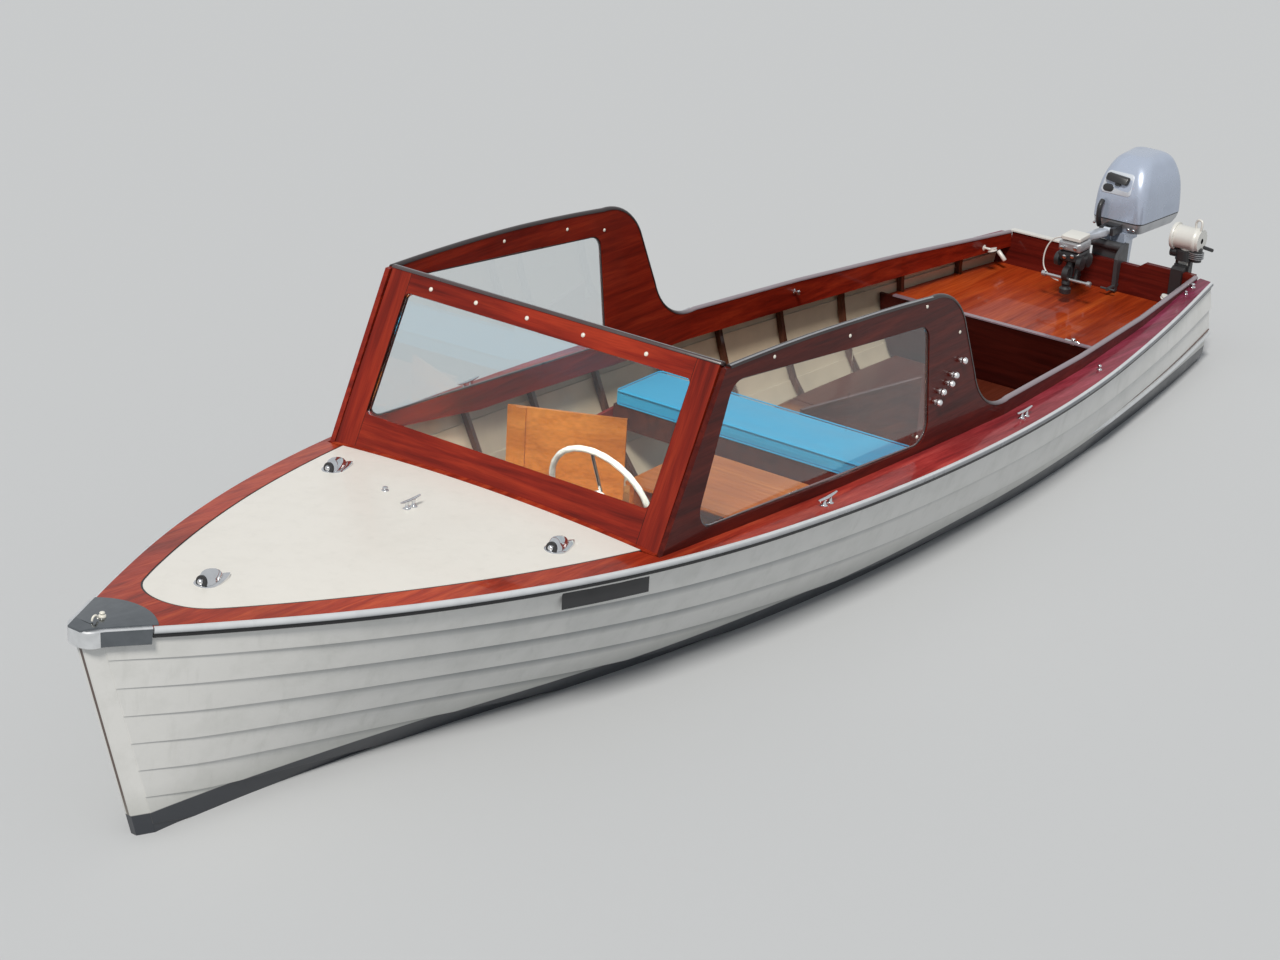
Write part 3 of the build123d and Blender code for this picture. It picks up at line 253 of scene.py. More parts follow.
def varnished(name, dark, middle, light, along="x", coat=0.28, stripe=30.0, aft=None,
              aft_from=1.4, aft_to=-2.6):
    """Varnished wood: long grain, pores, a slow drift of tone and a clear gloss coat.

    Where an aft tint is given, the wood takes it up slowly from one place to another further aft."""
    mat, tree, shader = blank(name, middle, 0.32, coat=coat, coat_rough=0.03)
    shader.inputs["Specular IOR Level"].default_value = 0.08
    vector = object_coords(tree, GRAIN_WAYS[along])
    if along == "frame":
        upright, joint = stile_share(tree)
        vector = mixed(tree, "MIX", upright, vector, object_coords(tree, (GRAIN, 1, GRAIN)))
    grain = noise(tree, vector, stripe, 5.0, 0.6, 0.6)
    pores = noise(tree, vector, stripe * 9, 2.0, 0.5)
    drift = noise(tree, object_coords(tree), 2.3, 2.0, 0.5)
    wood = ramp(tree, grain, [(0.25, dark), (0.48, middle), (0.72, light)])
    open_pores = scaled(tree, pores, 0.35, 0.6, 0.62, 1.0)
    specks = ramp(tree, open_pores, [(0.0, (0.25, 0.18, 0.15)), (1.0, (1, 1, 1))])
    wood = mixed(tree, "MULTIPLY", 0.55, wood, specks)
    tone = ramp(tree, drift, [(0.3, (0.72, 0.68, 0.66)), (0.7, (1.18, 1.15, 1.12))])
    wood = mixed(tree, "MULTIPLY", 0.8, wood, tone)
    if along == "frame":
        wood = mixed(tree, "MIX", joint, wood, (0.03, 0.006, 0.004))
    if aft is not None:
        wood = mixed(tree, "MULTIPLY", scaled(tree, place_along(tree), aft_from, aft_to, 0.0, 1.0), wood, aft)
    tree.links.new(wood, shader.inputs["Base Color"])
    tree.links.new(scaled(tree, pores, 0.3, 0.7, 0.42, 0.28), shader.inputs["Roughness"])
    bumped(tree, shader, grain, 0.05, 0.001)
    return mat


def painted(name, colour, dirt, rough=0.35, coat=0.3, below=None, inside=None, edge=None, aft_shade=None,
            lap_shade=None, coaming=None):
    """Brushed gloss paint with faint mottling and streaks of grime; other colours go where they are given.

    edge: on the stem's narrow front. aft_shade: painted shade and reflection on steep faces, growing aft.
    coaming: painted sky reflection, pale lilac, on the low after part.
    lap_shade: painted shade below each lap, least at the bow and the stern. below: under the paint line.
    inside: where the piece's tone attribute is 1."""
    mat, tree, shader = blank(name, colour, rough, coat=coat, coat_rough=0.08)
    spots = noise(tree, object_coords(tree), 9.0, 5.0, 0.6)
    streaks = noise(tree, object_coords(tree, (1, 1, 0.2)), 24.0, 4.0, 0.6)
    paint = mixed(tree, "MIX", scaled(tree, spots, 0.45, 0.8, 0.0, 0.22), colour, dirt)
    paint = mixed(tree, "MIX", scaled(tree, streaks, 0.55, 0.85, 0.0, 0.25), paint, dirt)
    if edge is not None:
        wide = scaled(tree, maths(tree, "ABSOLUTE", place_along(tree, "Y")), 0.0050, 0.0060, 0.0, 1.0)
        ahead = scaled(tree, place_along(tree, "X", "Normal"), 0.80, 0.84, 0.0, 1.0)
        paint = mixed(tree, "MIX", mixed(tree, "MIX", wide, ahead, (0, 0, 0)), paint, edge)
    # Painted shade and reflection: steep faces turn dark towards the stern.
    if aft_shade is not None:
        steep = scaled(tree, place_along(tree, "Z", "Normal"), 0.50, 0.78, 1.0, 0.0)
        aft = scaled(tree, place_along(tree), 1.9, -1.0, 0.0, 0.85)
        paint = mixed(tree, "MIX", mixed(tree, "MULTIPLY", 1.0, steep, aft), paint, aft_shade)
    # Painted reflection: the low after part turns pale lilac, like sky seen in the varnish.
    if coaming is not None:
        paint = mixed(tree, "MIX", scaled(tree, place_along(tree), -.66, -.82, 0.0, 1.0), paint, coaming)
    # Painted shade: a dark band just below each lap, narrowing towards the bow and the stern.
    if lap_shade is not None:
        fore = scaled(tree, place_along(tree), 1.80, 2.64, 0.0, 0.30)
        aft = scaled(tree, place_along(tree), 1.3, -0.4, 0.0, 0.22)
        under = maths(tree, "SUBTRACT", own_value(tree, "lap"), mixed(tree, "ADD", 1.0, fore, aft))
        paint = mixed(tree, "MIX", scaled(tree, under, 0.60, 0.86, 0.0, 0.70), paint, lap_shade)
    if below is not None:
        height = place_along(tree, "Z")
        splashed = scaled(tree, height, PAINT_LINE, PAINT_LINE + 0.09, 0.35, 0.0)
        paint = mixed(tree, "MIX", splashed, paint, dirt)
        under = scaled(tree, height, PAINT_LINE - 0.0015, PAINT_LINE + 0.0015, 1.0, 0.0)
        paint = mixed(tree, "MIX", under, paint, below)
    if inside is not None:
        worn = scaled(tree, spots, 0.4, 0.8, 0.0, 0.5)
        worn = mixed(tree, "MIX", worn, inside, tuple(0.7 * c for c in inside))
        paint = mixed(tree, "MIX", own_value(tree, "tone"), paint, worn)
    tree.links.new(paint, shader.inputs["Base Color"])
    tree.links.new(scaled(tree, spots, 0.3, 0.7, rough - 0.06, rough + 0.1), shader.inputs["Roughness"])
    bumped(tree, shader, noise(tree, object_coords(tree, (0.3, 1, 1)), 60.0, 3.0), 0.04, 0.001)
    return mat


def polished(name, colour, rough, scratch=0.06):
    """Bright metal with fine wear in its gloss."""
    mat, tree, shader = blank(name, colour, rough, metal=1.0)
    wear = noise(tree, object_coords(tree), 140.0, 4.0, 0.6)
    tree.links.new(scaled(tree, wear, 0.35, 0.75, rough, rough + scratch), shader.inputs["Roughness"])
    stops = [(0.3, tuple(c * 0.85 for c in colour)), (0.7, colour)]
    tree.links.new(ramp(tree, noise(tree, object_coords(tree), 30.0), stops), shader.inputs["Base Color"])
    return mat


def cast(name, colour, rough, metal, coat=0.0):
    """Sprayed casting: fine orange peel, dust in soft random patches."""
    mat, tree, shader = blank(name, colour, rough, metal, coat)
    dust = noise(tree, object_coords(tree), 14.0, 2.0, 0.5)
    soiled = scaled(tree, dust, 0.5, 0.85, 0.0, 0.22)
    soiled = mixed(tree, "MIX", soiled, colour, tuple(0.6 * c for c in colour))
    tree.links.new(soiled, shader.inputs["Base Color"])
    tree.links.new(scaled(tree, dust, 0.3, 0.8, rough - 0.05, rough + 0.15), shader.inputs["Roughness"])
    bumped(tree, shader, noise(tree, object_coords(tree), 380.0, 2.0), 0.02, 0.0004)
    return mat


def clear_pane(name, tint):
    """Clear pane that lets the lamp's light through."""
    mat, tree, shader = blank(name, tint, 0.0)
    shader.inputs["Transmission Weight"].default_value = 1.0
    shader.inputs["IOR"].default_value = 1.45
    smear = noise(tree, object_coords(tree, (1, 1, 0.4)), 7.0, 5.0, 0.6)
    tree.links.new(scaled(tree, smear, 0.4, 0.8, 0.0, 0.05), shader.inputs["Roughness"])
    shadow = node(tree, "LightPath").outputs["Is Shadow Ray"]
    through = node(tree, "BsdfTransparent").outputs[0]
    mix = node(tree, "MixShader", {0: shadow, 1: shader.outputs[0], 2: through}).outputs[0]
    tree.links.new(mix, tree.nodes["Material Output"].inputs["Surface"])
    return mat


def woven(name, colour, shade):
    """Tight woven cover with a soft sheen and worn places."""
    mat, tree, shader = blank(name, colour, 0.75)
    shader.inputs["Sheen Weight"].default_value = 0.25
    shader.inputs["Sheen Roughness"].default_value = 0.5
    vector = object_coords(tree)
    thread = {"Vector": vector, "Scale": 260.0}
    warp, weft = (node(tree, "TexWave", thread, bands_direction=way).outputs["Color"] for way in "XY")
    cloth = mixed(tree, "MULTIPLY", 1.0, warp, weft)
    dyed = mixed(tree, "MIX", scaled(tree, noise(tree, vector, 5.0, 4.0), 0.4, 0.75, 0.0, 0.5), colour, shade)
    tree.links.new(mixed(tree, "MULTIPLY", 0.15, dyed, cloth), shader.inputs["Base Color"])
    bumped(tree, shader, cloth, 0.15, 0.0008)
    return mat


WHITE = (0.86, 0.85, 0.82)
GRIME = (0.42, 0.43, 0.38)
BOTTOM = (0.035, 0.040, 0.050)
RAIL_DIRT = (0.25, 0.26, 0.27)
RED_WOOD = (0.095, 0.007, 0.004), (0.23, 0.016, 0.007), (0.36, 0.035, 0.012)

# Hull paint: the dark blue-grey band under each lap is painted shade.
hull_white = painted("hull_white", WHITE, GRIME, below=BOTTOM, inside=(0.66, 0.55, 0.40),
                     lap_shade=(0.16, 0.18, 0.20))
stem_white = painted("stem_white", WHITE, GRIME, below=BOTTOM, edge=(0.10, 0.06, 0.045))
keel_dark = painted("keel_dark", BOTTOM, (0.05, 0.06, 0.05), 0.6, 0.0)
deck_cream = painted("deck_cream", (0.83, 0.80, 0.74), (0.62, 0.60, 0.55), 0.42, 0.15)
red_mahogany = varnished("red_mahogany", *RED_WOOD)
cross_mahogany = varnished("cross_mahogany", *RED_WOOD, "frame")
# Covering boards: the purple tint that grows towards the stern is a painted sky reflection.
deck_mahogany = varnished("deck_mahogany", (0.16, 0.014, 0.006), (0.38, 0.036, 0.012), (0.58, 0.095, 0.028),
                          aft=(0.52, 0.42, 4.2))
stern_mahogany = varnished("stern_mahogany", (0.048, 0.005, 0.004), (0.11, 0.010, 0.007),
                           (0.18, 0.020, 0.012), "y")
# After bulkhead: dark maroon wood, made darker still with painted shade.
maroon_wood = varnished("maroon_wood", (0.014, 0.002, 0.001), (0.032, 0.0035, 0.0025),
                        (0.055, 0.007, 0.0045), "y", 0.2)
# Port side board: a darker copy of the red mahogany, the difference being painted shade.
port_mahogany_painted_shade = varnished("port_mahogany_painted_shade", (0.036, 0.003, 0.002), (0.090, 0.0075, 0.0045),
                          (0.15, 0.016, 0.008), coat=0.2)
orange_deck = varnished("orange_deck", (0.15, 0.014, 0.004), (0.34, 0.040, 0.008), (0.55, 0.098, 0.018),
                        coat=0.2, stripe=16.0)
plywood = varnished("plywood", (0.46, 0.13, 0.018), (0.66, 0.22, 0.028), (0.80, 0.31, 0.055), "y", 0.4, 14.0)
seat_ply = varnished("seat_ply", (0.34, 0.080, 0.010), (0.49, 0.135, 0.016), (0.60, 0.20, 0.032),
                     "y", 0.25, 14.0)
floor_ply = varnished("floor_ply", (0.48, 0.17, 0.040), (0.62, 0.26, 0.075), (0.74, 0.37, 0.13),
                      "x", 0.3, 14.0, aft=(0.16, 0.075, 0.12), aft_from=-1.15, aft_to=-1.35)
rib_brown = varnished("rib_brown", (0.045, 0.018, 0.010), (0.09, 0.032, 0.018), (0.15, 0.055, 0.03), "z", 0.5)
dark_board = varnished("dark_board", (0.045, 0.010, 0.008), (0.085, 0.020, 0.014), (0.14, 0.036, 0.022),
                       coat=0.6)
rail_grey = painted("rail_grey", (0.56, 0.58, 0.60), RAIL_DIRT, 0.3)
# Rail paint whose steep faces carry painted shade and reflection, darker towards the stern.
rail_painted_shade = painted("rail_painted_shade", (0.62, 0.64, 0.66), RAIL_DIRT, 0.3, aft_shade=(0.055, 0.060, 0.080))
black_line = painted("black_line", (0.012, 0.012, 0.014), (0.05, 0.05, 0.05), 0.45, 0.0)
cap_dark = painted("cap_dark", (0.055, 0.035, 0.035), (0.12, 0.10, 0.10), 0.3, 0.4)
# Board mouldings: the pale lilac of their low after part is a painted sky reflection.
edge_varnish = painted("edge_varnish", (0.022, 0.012, 0.012), (0.05, 0.04, 0.04), 0.35, 0.15,
                       coaming=(0.27, 0.225, 0.25))
# Pale lilac of the bulkhead capping: a painted sky reflection on its varnish.
varnish_painted_reflection = painted("varnish_painted_reflection", (0.25, 0.17, 0.20), (0.12, 0.10, 0.10), 0.25, 0.5)
ivory = painted("ivory", (0.80, 0.77, 0.68), (0.5, 0.46, 0.38), 0.22, 0.6)
chrome = polished("chrome", (0.78, 0.79, 0.81), 0.06)
dark_metal = polished("dark_metal", (0.19, 0.205, 0.22), 0.12)
dull_metal = polished("dull_metal", (0.55, 0.55, 0.56), 0.28, 0.15)
bright_metal = polished("bright_metal", (0.90, 0.91, 0.92), 0.34, 0.1)
blue_cover = woven("blue_cover", (0.016, 0.46, 0.78), (0.012, 0.38, 0.68))
pane = clear_pane("pane", (0.93, 0.97, 0.98))
motor_silver = cast("motor_silver", (0.45, 0.51, 0.63), 0.26, 0.35, 0.5)
motor_light = cast("motor_light", (0.62, 0.66, 0.72), 0.30, 0.2, 0.4)
motor_dull = cast("motor_dull", (0.065, 0.067, 0.072), 0.42, 0.3, 0.1)
motor_bare = cast("motor_bare", (0.50, 0.51, 0.53), 0.38, 0.8)
motor_black = cast("motor_black", (0.020, 0.020, 0.022), 0.42, 0.0, 0.2)
screw_metal = cast("screw_metal", (0.42, 0.43, 0.45), 0.35, 0.9)
tank_white = cast("tank_white", (0.72, 0.71, 0.67), 0.35, 0.1, 0.3)

# Material of each carried node
CARRIED = [
    (hull_white, "planking_port planking_starboard"), (stem_white, "stem"), (keel_dark, "keel"),
    (stern_mahogany, "transom dash_board"), (rib_brown, "frames"),
    (rail_grey, "rub_rail_port rub_rail_starboard"), (deck_cream, "foredeck_panel"),
    (deck_mahogany, "covering_board_port covering_board_starboard seat_risers"),
    (dark_metal, "bow_cap"), (chrome, "bow_bands deck_drops cleats steering_column"),
    (cross_mahogany, "windscreen_frame"), (pane, "windscreen_glass side_glass_port side_glass_starboard"),
    (cap_dark, "windscreen_cap"), (port_mahogany_painted_shade, "side_board_port"), (red_mahogany, "side_board_starboard"),
    (floor_ply, "floorboards"), (dark_board, "bench locker_board"), (blue_cover, "bench_cushion"),
    (seat_ply, "driver_seat"), (plywood, "passenger_board"), (ivory, "steering_wheel"),
    (orange_deck, "aft_deck"), (maroon_wood, "aft_bulkhead"), (motor_dull, "clamp_bracket swivel_bracket"),
    (motor_silver, "motor_leg motor_pan motor_cowl"), (screw_metal, "motor_propeller aux_propeller"),
    (motor_black, "steering_bracket tiller_arm aux_clamp"), (tank_white, "aux_motor"),
]
for material, names in CARRIED:
    for name in names.split():
        slots = nodes[name].data.materials
        slots.clear()
        slots.append(material)


# Surfaces worked out as arrays

def smooth_rows(table, at):
    """Catmull-Rom curve through a table's rows, read where the first column equals at."""
    xs = table[:, 0]
    at = np.atleast_1d(np.asarray(at, float))
    slopes = np.gradient(table, xs, axis=0)
    k = np.clip(np.searchsorted(xs, at, side="right") - 1, 0, len(xs) - 2)
    h = (xs[k + 1] - xs[k])[:, None]
    t = (at - xs[k])[:, None] / h
    a, b, da, db = table[k], table[k + 1], slopes[k] * h, slopes[k + 1] * h
    return ((2 * t ** 3 - 3 * t ** 2 + 1) * a + (t ** 3 - 2 * t ** 2 + t) * da
            + (3 * t ** 2 - 2 * t ** 3) * b + (t ** 3 - t ** 2) * db)


def run_along(points):
    """Distance run along a line at each of its points."""
    return np.concatenate([[0], np.cumsum(np.linalg.norm(np.diff(points, axis=0), axis=1))])


def curve_through(points, count):
    """Smooth curve through points, evenly sampled by its own length."""
    points = np.asarray(points, float)
    run = run_along(points)
    fine = smooth_rows(np.column_stack([run, points]), np.linspace(0, run[-1], count * 4))[:, 1:]
    run = run_along(fine)
    at = np.linspace(0, run[-1], count)
    return np.stack([np.interp(at, run, column) for column in fine.T], -1)


def arc_through(a, b, c, count):
    """Points of the circle arc from a through b to c in a plane."""
    (ax, ay), (bx, by), (cx, cy) = a, b, c
    aa, bb, cc = ax ** 2 + ay ** 2, bx ** 2 + by ** 2, cx ** 2 + cy ** 2
    d = 2 * (ax * (by - cy) + bx * (cy - ay) + cx * (ay - by))
    ux = (aa * (by - cy) + bb * (cy - ay) + cc * (ay - by)) / d
    uy = (aa * (cx - bx) + bb * (ax - cx) + cc * (bx - ax)) / d
    start, mid, end = (math.atan2(y - uy, x - ux) for x, y in (a, b, c))
    turn = (end - start) % (2 * math.pi)
    if (mid - start) % (2 * math.pi) > turn:
        turn -= 2 * math.pi
    radius = math.hypot(ax - ux, ay - uy)
    angle = start + turn * np.linspace(0, 1, count)
    return np.stack([ux + radius * np.cos(angle), uy + radius * np.sin(angle)], -1)


def rounded_loop(corners, radius, steps=6):
    """Closed outline through corners, each one rounded by an arc of a radius."""
    corners = np.asarray(corners, float)
    out = []
    for before, here, after in zip(np.roll(corners, 1, 0), corners, np.roll(corners, -1, 0)):
        a, b = unit(before - here), unit(after - here)
        half = math.acos(float(np.clip(a @ b, -1, 1))) / 2
        reach = radius / math.tan(half)
        middle = here + unit(a + b) * radius / math.sin(half)
        start, end = here + a * reach - middle, here + b * reach - middle
        first = math.atan2(start[1], start[0])
        turn = (math.atan2(end[1], end[0]) - first + math.pi) % (2 * math.pi) - math.pi
        for angle in first + turn * np.linspace(0, 1, steps):
            out.append(middle + radius * np.array([math.cos(angle), math.sin(angle)]))
    return np.array(out)


def full_turn(steps):
    """Even angles of one full turn."""
    return np.linspace(0, 2 * np.pi, steps, endpoint=False)


# Solids as (points, faces), and the objects made of them

def grid_faces(nu, nv, start=0, round_u=False, round_v=False, flip=False):
    """Quads of a grid of nu by nv points, joined round in u or v where asked."""
    u_steps, v_steps = nu if round_u else nu - 1, nv if round_v else nv - 1
    u, v = np.meshgrid(np.arange(u_steps), np.arange(v_steps), indexing="ij")
    next_u, next_v = (u + 1) % nu, (v + 1) % nv
    corners = [u * nv + v, next_u * nv + v, next_u * nv + next_v, u * nv + next_v]
    quads = np.stack(corners, -1).reshape(-1, 4) + start
    return (quads[:, ::-1] if flip else quads).tolist()


def ring_part(rings, closed=False):
    """Solid through rings of points; its ends are shut, or its last ring meets its first."""
    rings = np.asarray(rings, float)
    n, m = rings.shape[:2]
    faces = grid_faces(n, m, round_u=closed, round_v=True)
    if not closed:
        faces += [list(range(m)), list(range((n - 1) * m, n * m))[::-1]]
    return rings.reshape(-1, 3), faces


def assembled(parts):
    """Several solids as one list of points and one of faces."""
    points, faces, start = [], [], 0
    for some, around in parts:
        points.append(some)
        faces += [[index + start for index in face] for face in around]
        start += len(some)
    return np.concatenate(points), faces


def linked(name, mesh, material):
    """Object of a mesh with its material, in the scene."""
    obj = bpy.data.objects.new(name, mesh)
    bpy.context.scene.collection.objects.link(obj)
    mesh.materials.append(material)
    return obj


def made(name, parts, material, body="hull"):
    """Object from solids, with its place in its mesh and all faces turned outwards."""
    mesh = bpy.data.meshes.new(name)
    points, faces = assembled(parts)
    mesh.from_pydata(points.tolist(), [], faces)
    work = bmesh.new()
    work.from_mesh(mesh)
    bmesh.ops.recalc_face_normals(work, faces=work.faces)
    work.to_mesh(mesh)
    work.free()
    obj = linked(name, mesh, material)
    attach(obj, body)
    return obj


def tagged(obj, name, values):
    """Gives each point of an object a value of its own, for its material to read."""
    layer = obj.data.attributes.new(name, "FLOAT", "POINT")
    layer.data.foreach_set("value", np.asarray(values, np.float32))


def bevelled(obj, width, angle):
    """Rounds the edges that are sharper than an angle, by a Bevel modifier."""
    mod = obj.modifiers.new("rounded_edges", "BEVEL")
    mod.width = width
    mod.segments = 2
    mod.limit_method = "ANGLE"
    mod.angle_limit = math.radians(angle)
    mod.harden_normals = True


def shade_by_angle(obj, degrees):
    """Smooth faces, with the edges sharper than an angle kept crisp."""
    mesh = obj.data
    mesh.polygons.foreach_set("use_smooth", np.ones(len(mesh.polygons), bool))
    mesh.set_sharp_from_angle(angle=math.radians(degrees))


def joined(name, parts, material, body="hull", angle=40, bevel=0.0):
    """One finished object from solids."""
    obj = made(name, parts, material, body)
    if bevel:
        bevelled(obj, bevel, 40)
    shade_by_angle(obj, angle)
    return obj


def ring_solid(name, rings, material, body="hull", angle=40, bevel=0.0, closed=False):
    """One finished object through rings of points."""
    return joined(name, [ring_part(rings, closed)], material, body, angle, bevel)


def swept(path, profile):
    """Rings of a profile carried along a path.

    Point = path point + a * side + b * (side x way), where side = way x up, made one long."""
    way = unit(np.gradient(path, axis=0))
    side = unit(np.cross(way, UP))
    rise = np.cross(side, way)
    a, b = np.asarray(profile, float).T[..., None]
    return path[:, None] + side[:, None] * a + rise[:, None] * b


def frame_of(axis):
    """An axis made one long, and two directions square to it."""
    axis = unit(axis)
    side = unit(np.cross(axis, UP if abs(axis[2]) < 0.9 else ALONG))
    return axis, side, np.cross(axis, side)


def turned(profile, origin, axis, steps):
    """Surface of revolution: profile rows are (distance along the axis, radius); both ends closed."""
    axis, u, v = frame_of(axis)
    angle = full_turn(steps)[:, None]
    along, radius = np.asarray(profile, float).T[..., None, None]
    around = np.cos(angle) * u + np.sin(angle) * v
    return ring_part(origin + along * axis + np.maximum(radius, 1e-4) * around)


def bar(start, end, radius):
    """Round bar between two points with slightly rounded ends."""
    start, end = np.asarray(start, float), np.asarray(end, float)
    length = np.linalg.norm(end - start)
    edge = radius * 0.25
    rows = [(0, radius - edge), (edge, radius), (length - edge, radius), (length, radius - edge)]
    return turned(rows, start, end - start, 16)


def hose(points, radius, count, steps):
    """Round tube along a smooth curve through points; its first side is carried along against twist."""
    path = curve_through(points, count)
    way = unit(np.gradient(path, axis=0))
    angle = full_turn(steps)[:, None]
    side = frame_of(way[0])[1]
    rings = []
    for place, ahead in zip(path, way):
        side = unit(side - ahead * (side @ ahead))
        rings.append(place + radius * (np.cos(angle) * side + np.sin(angle) * np.cross(ahead, side)))
    return ring_part(rings)


def plate(outline, low, high):
    """Flat plate: an outline of (x, y) points between two levels."""
    return ring_part([[(x, y, z) for x, y in outline] for z in (low, high)])


def mirrored(points):
    """The same points on the other side of the boat."""
    return np.asarray(points) * (1, -1, 1)


SIDES = {"port": np.asarray, "starboard": mirrored}


# Hull skin, worked out from the table

def rows_at(count):
    """Hull rows at even steps along the hull, by the smooth curve through the table."""
    marks = np.arange(len(STATIONS), dtype=float)
    table = np.column_stack([marks, STATIONS])
    return smooth_rows(table, np.linspace(0, len(STATIONS) - 1, count))[:, 1:]


def skin(row, share, offset):
    """Points of one side at shares of the girth, moved out along the section's normal, and the whole girth.

    Half breadth = keel half + (beam - keel half) * t^power * (1 + tumble * (1 - t)); height runs straight
    from rabbet to sheer with t; x runs straight from the keel's place to the sheer's. The normal turns
    level over the last 1.5 % of the girth."""
    x_top, x_low, beam, sheer, rabbet, power, tumble = row[:7]
    t = np.linspace(0, 1, 241) ** 2
    wide = KEEL_HALF + (beam - KEEL_HALF) * t ** power * (1 + tumble * (1 - t))
    high = rabbet + (sheer - rabbet) * t
    run = np.concatenate([[0], np.cumsum(np.hypot(np.diff(wide), np.diff(high)))])
    share = np.asarray(share)
    at, step = share * run[-1], 0.002 * run[-1]
    dy = np.interp(at + step, run, wide) - np.interp(at - step, run, wide)
    dz = np.interp(at + step, run, high) - np.interp(at - step, run, high)
    length = np.hypot(dy, dz) + 1e-12
    upright = np.clip((share - 0.985) / 0.015, 0, 1)
    y = np.interp(at, run, wide) + (dz / length * (1 - upright) + upright) * offset
    z = np.interp(at, run, high) - dy / length * (1 - upright) * offset
    return np.stack([x_low + (x_top - x_low) * np.interp(at, run, t), y, z], -1), run[-1]


def strake_ring(row, k):
    """Closed section of one plank: outside from its lower edge to the lap above, then back inside."""
    stand = PLANK * (row[7] if row[7] > 0.25 else LEAST_STAND)
    low = k / STRAKES
    lap = (LAP if k < STRAKES - 1 else 0) / skin(row, [1.0], 0)[1]
    share = np.linspace(low, (k + 1) / STRAKES + lap, FACE_POINTS)
    rise = stand * (1 - (share - low) * STRAKES) * (k > 0)
    outer = skin(row, share, PLANK + rise)[0]
    inner = skin(row, share[::-1], rise[::-1] + SKIN_GAP)[0]
    return np.concatenate([outer, inner])


def planked_side(name, flip):
    """Eight lapped planks of one side as one mesh of closed, slightly round-edged strips.

    Tone is 1 on the inside. Lap climbs from 0 at each plank's lower edge, but not on the top plank."""
    rows = rows_at((len(STATIONS) - 1) * FINE + 1)
    planks = [ring_part(flip([strake_ring(row, k) for row in rows])) for k in range(STRAKES)]
    # The lap attribute places the hull paint's painted shade just below each lap.
    lap_shade_climb = np.concatenate([np.linspace(0, LAP_SHADE_REACH, FACE_POINTS), np.zeros(FACE_POINTS)])
    lap = np.tile(lap_shade_climb, len(rows))
    obj = made(name, planks, hull_white)
    tagged(obj, "tone", np.tile(np.repeat([0.0, 1.0], FACE_POINTS), len(rows) * STRAKES))
    tagged(obj, "lap", np.concatenate([lap * (k < STRAKES - 1) for k in range(STRAKES)]))
    bevelled(obj, 0.0022, 50)
    shade_by_angle(obj, 32)
    return obj


def sheer_line(x, shift=0.0):
    """Outer half breadth and height of the sheer at places along the hull."""
    found = smooth_rows(STATIONS[:, [0, 2, 3]], x)
    return found[:, 1] + PLANK + shift, found[:, 2]


def crown(x, y):
    """Height of the deck's top: sheer + board + crown * (half / widest) * (1 - (y / half)^2)."""
    half, sheer = sheer_line(x)
    return sheer + DECK + CROWN * (half / CROWN_AT) * (1 - (y / half) ** 2)


def on_deck(x, y, lift=0.0):
    """Point on the deck's crowned top."""
    return np.array([x, y, float(crown(x, y)[0]) + lift])


for word, flip in SIDES.items():
    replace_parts(planked_side("planked_side_" + word, flip), "planking_" + word)


# Rails and bow band

RAIL_END_X = 2.826
RAIL_PROFILE = [(0.0, -.0105), (.008, -.0102), (.0125, -.0082), (.0144, -.0045), (.0146, -.0008),
                (.0132, .0034), (.0098, .0070), (.0055, .0086), (0.0, .0088)]
UNDER_RAIL = [(-.001, -.0235), (.0054, -.0232), (.0070, -.0205), (.0070, -.0105), (-.001, -.0105)]
BAND_PROFILE = [(-.004, -.0400), (.0105, -.0400), (.0130, -.0375), (.0130, .0060), (.0105, .0088),
                (-.004, .0088)]
BAND_EDGE = [(-.0045, .0090), (.0112, .0090), (.0134, .0062), (.0142, .0066), (.0122, .0112),
             (-.0045, .0112)]
NOSE_LIFT = .0006


def sheer_path(x_from, x_to, count):
    """Points along the planking's upper edge."""
    x = np.linspace(x_from, x_to, count)
    return np.stack([x, *sheer_line(x)], -1)


rail_path = sheer_path(RAIL_END_X, STERN_X, 120)
half_round, under_rail = swept(rail_path, RAIL_PROFILE), swept(rail_path, UNDER_RAIL)
for word, flip in SIDES.items():
    rail = ring_solid("half_round_rail_" + word, flip(half_round), rail_painted_shade)
    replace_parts(rail, "rub_rail_" + word)
    ring_solid("rail_shadow_strip_" + word, flip(under_rail), black_line)

band_side = sheer_path(RAIL_END_X + .004, 2.940, 16)
band_head = [(2.955, .0440, .690), (2.968, .0390, .690), (2.978, .0290, .690), (2.9835, .0150, .690),
             (2.985, 0, .690)]
half_band = np.concatenate([band_side, band_head])
whole_band = np.concatenate([mirrored(half_band), half_band[-2::-1]])
round_stem = whole_band[whole_band[:, 0] > 2.9401]
nose_profile = [(a + NOSE_LIFT if a > 0 else a, b) for a, b in BAND_PROFILE]
band = ring_solid("bow_band", swept(whole_band, BAND_PROFILE), dark_metal, angle=30)
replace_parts(band, "bow_bands")
ring_solid("bow_band_edge", swept(whole_band, BAND_EDGE), bright_metal, angle=30)
ring_solid("bow_band_nose", swept(round_stem, nose_profile), bright_metal, angle=30)


# Decks

PANEL_SIDE = 0.088
PANEL_BACK = SCREEN_X + 0.014
PANEL_THICK = 0.0045
SEAM = 0.005
SEAM_HIDDEN = 0.001
SHELF_X = [1.2965, 1.26, 1.2245]
SHELF_HALF = 0.6505


def panel_edge():
    """Smooth outline of the painted panel on the port side, from the screen to its full round nose."""
    x = np.array([PANEL_BACK, 1.45, 1.65, 1.85, 2.05, 2.22, 2.36, 2.46, 2.535])
    side = np.stack([x, sheer_line(x, -PANEL_SIDE)[0]], -1)
    nose = [(2.590, .150), (2.635, .123), (2.667, .090), (2.686, .052), (2.694, .019), (2.695, .0)]
    edge = curve_through(np.concatenate([side, nose]), 120)
    edge[-1, 1] = 0.0004
    return edge


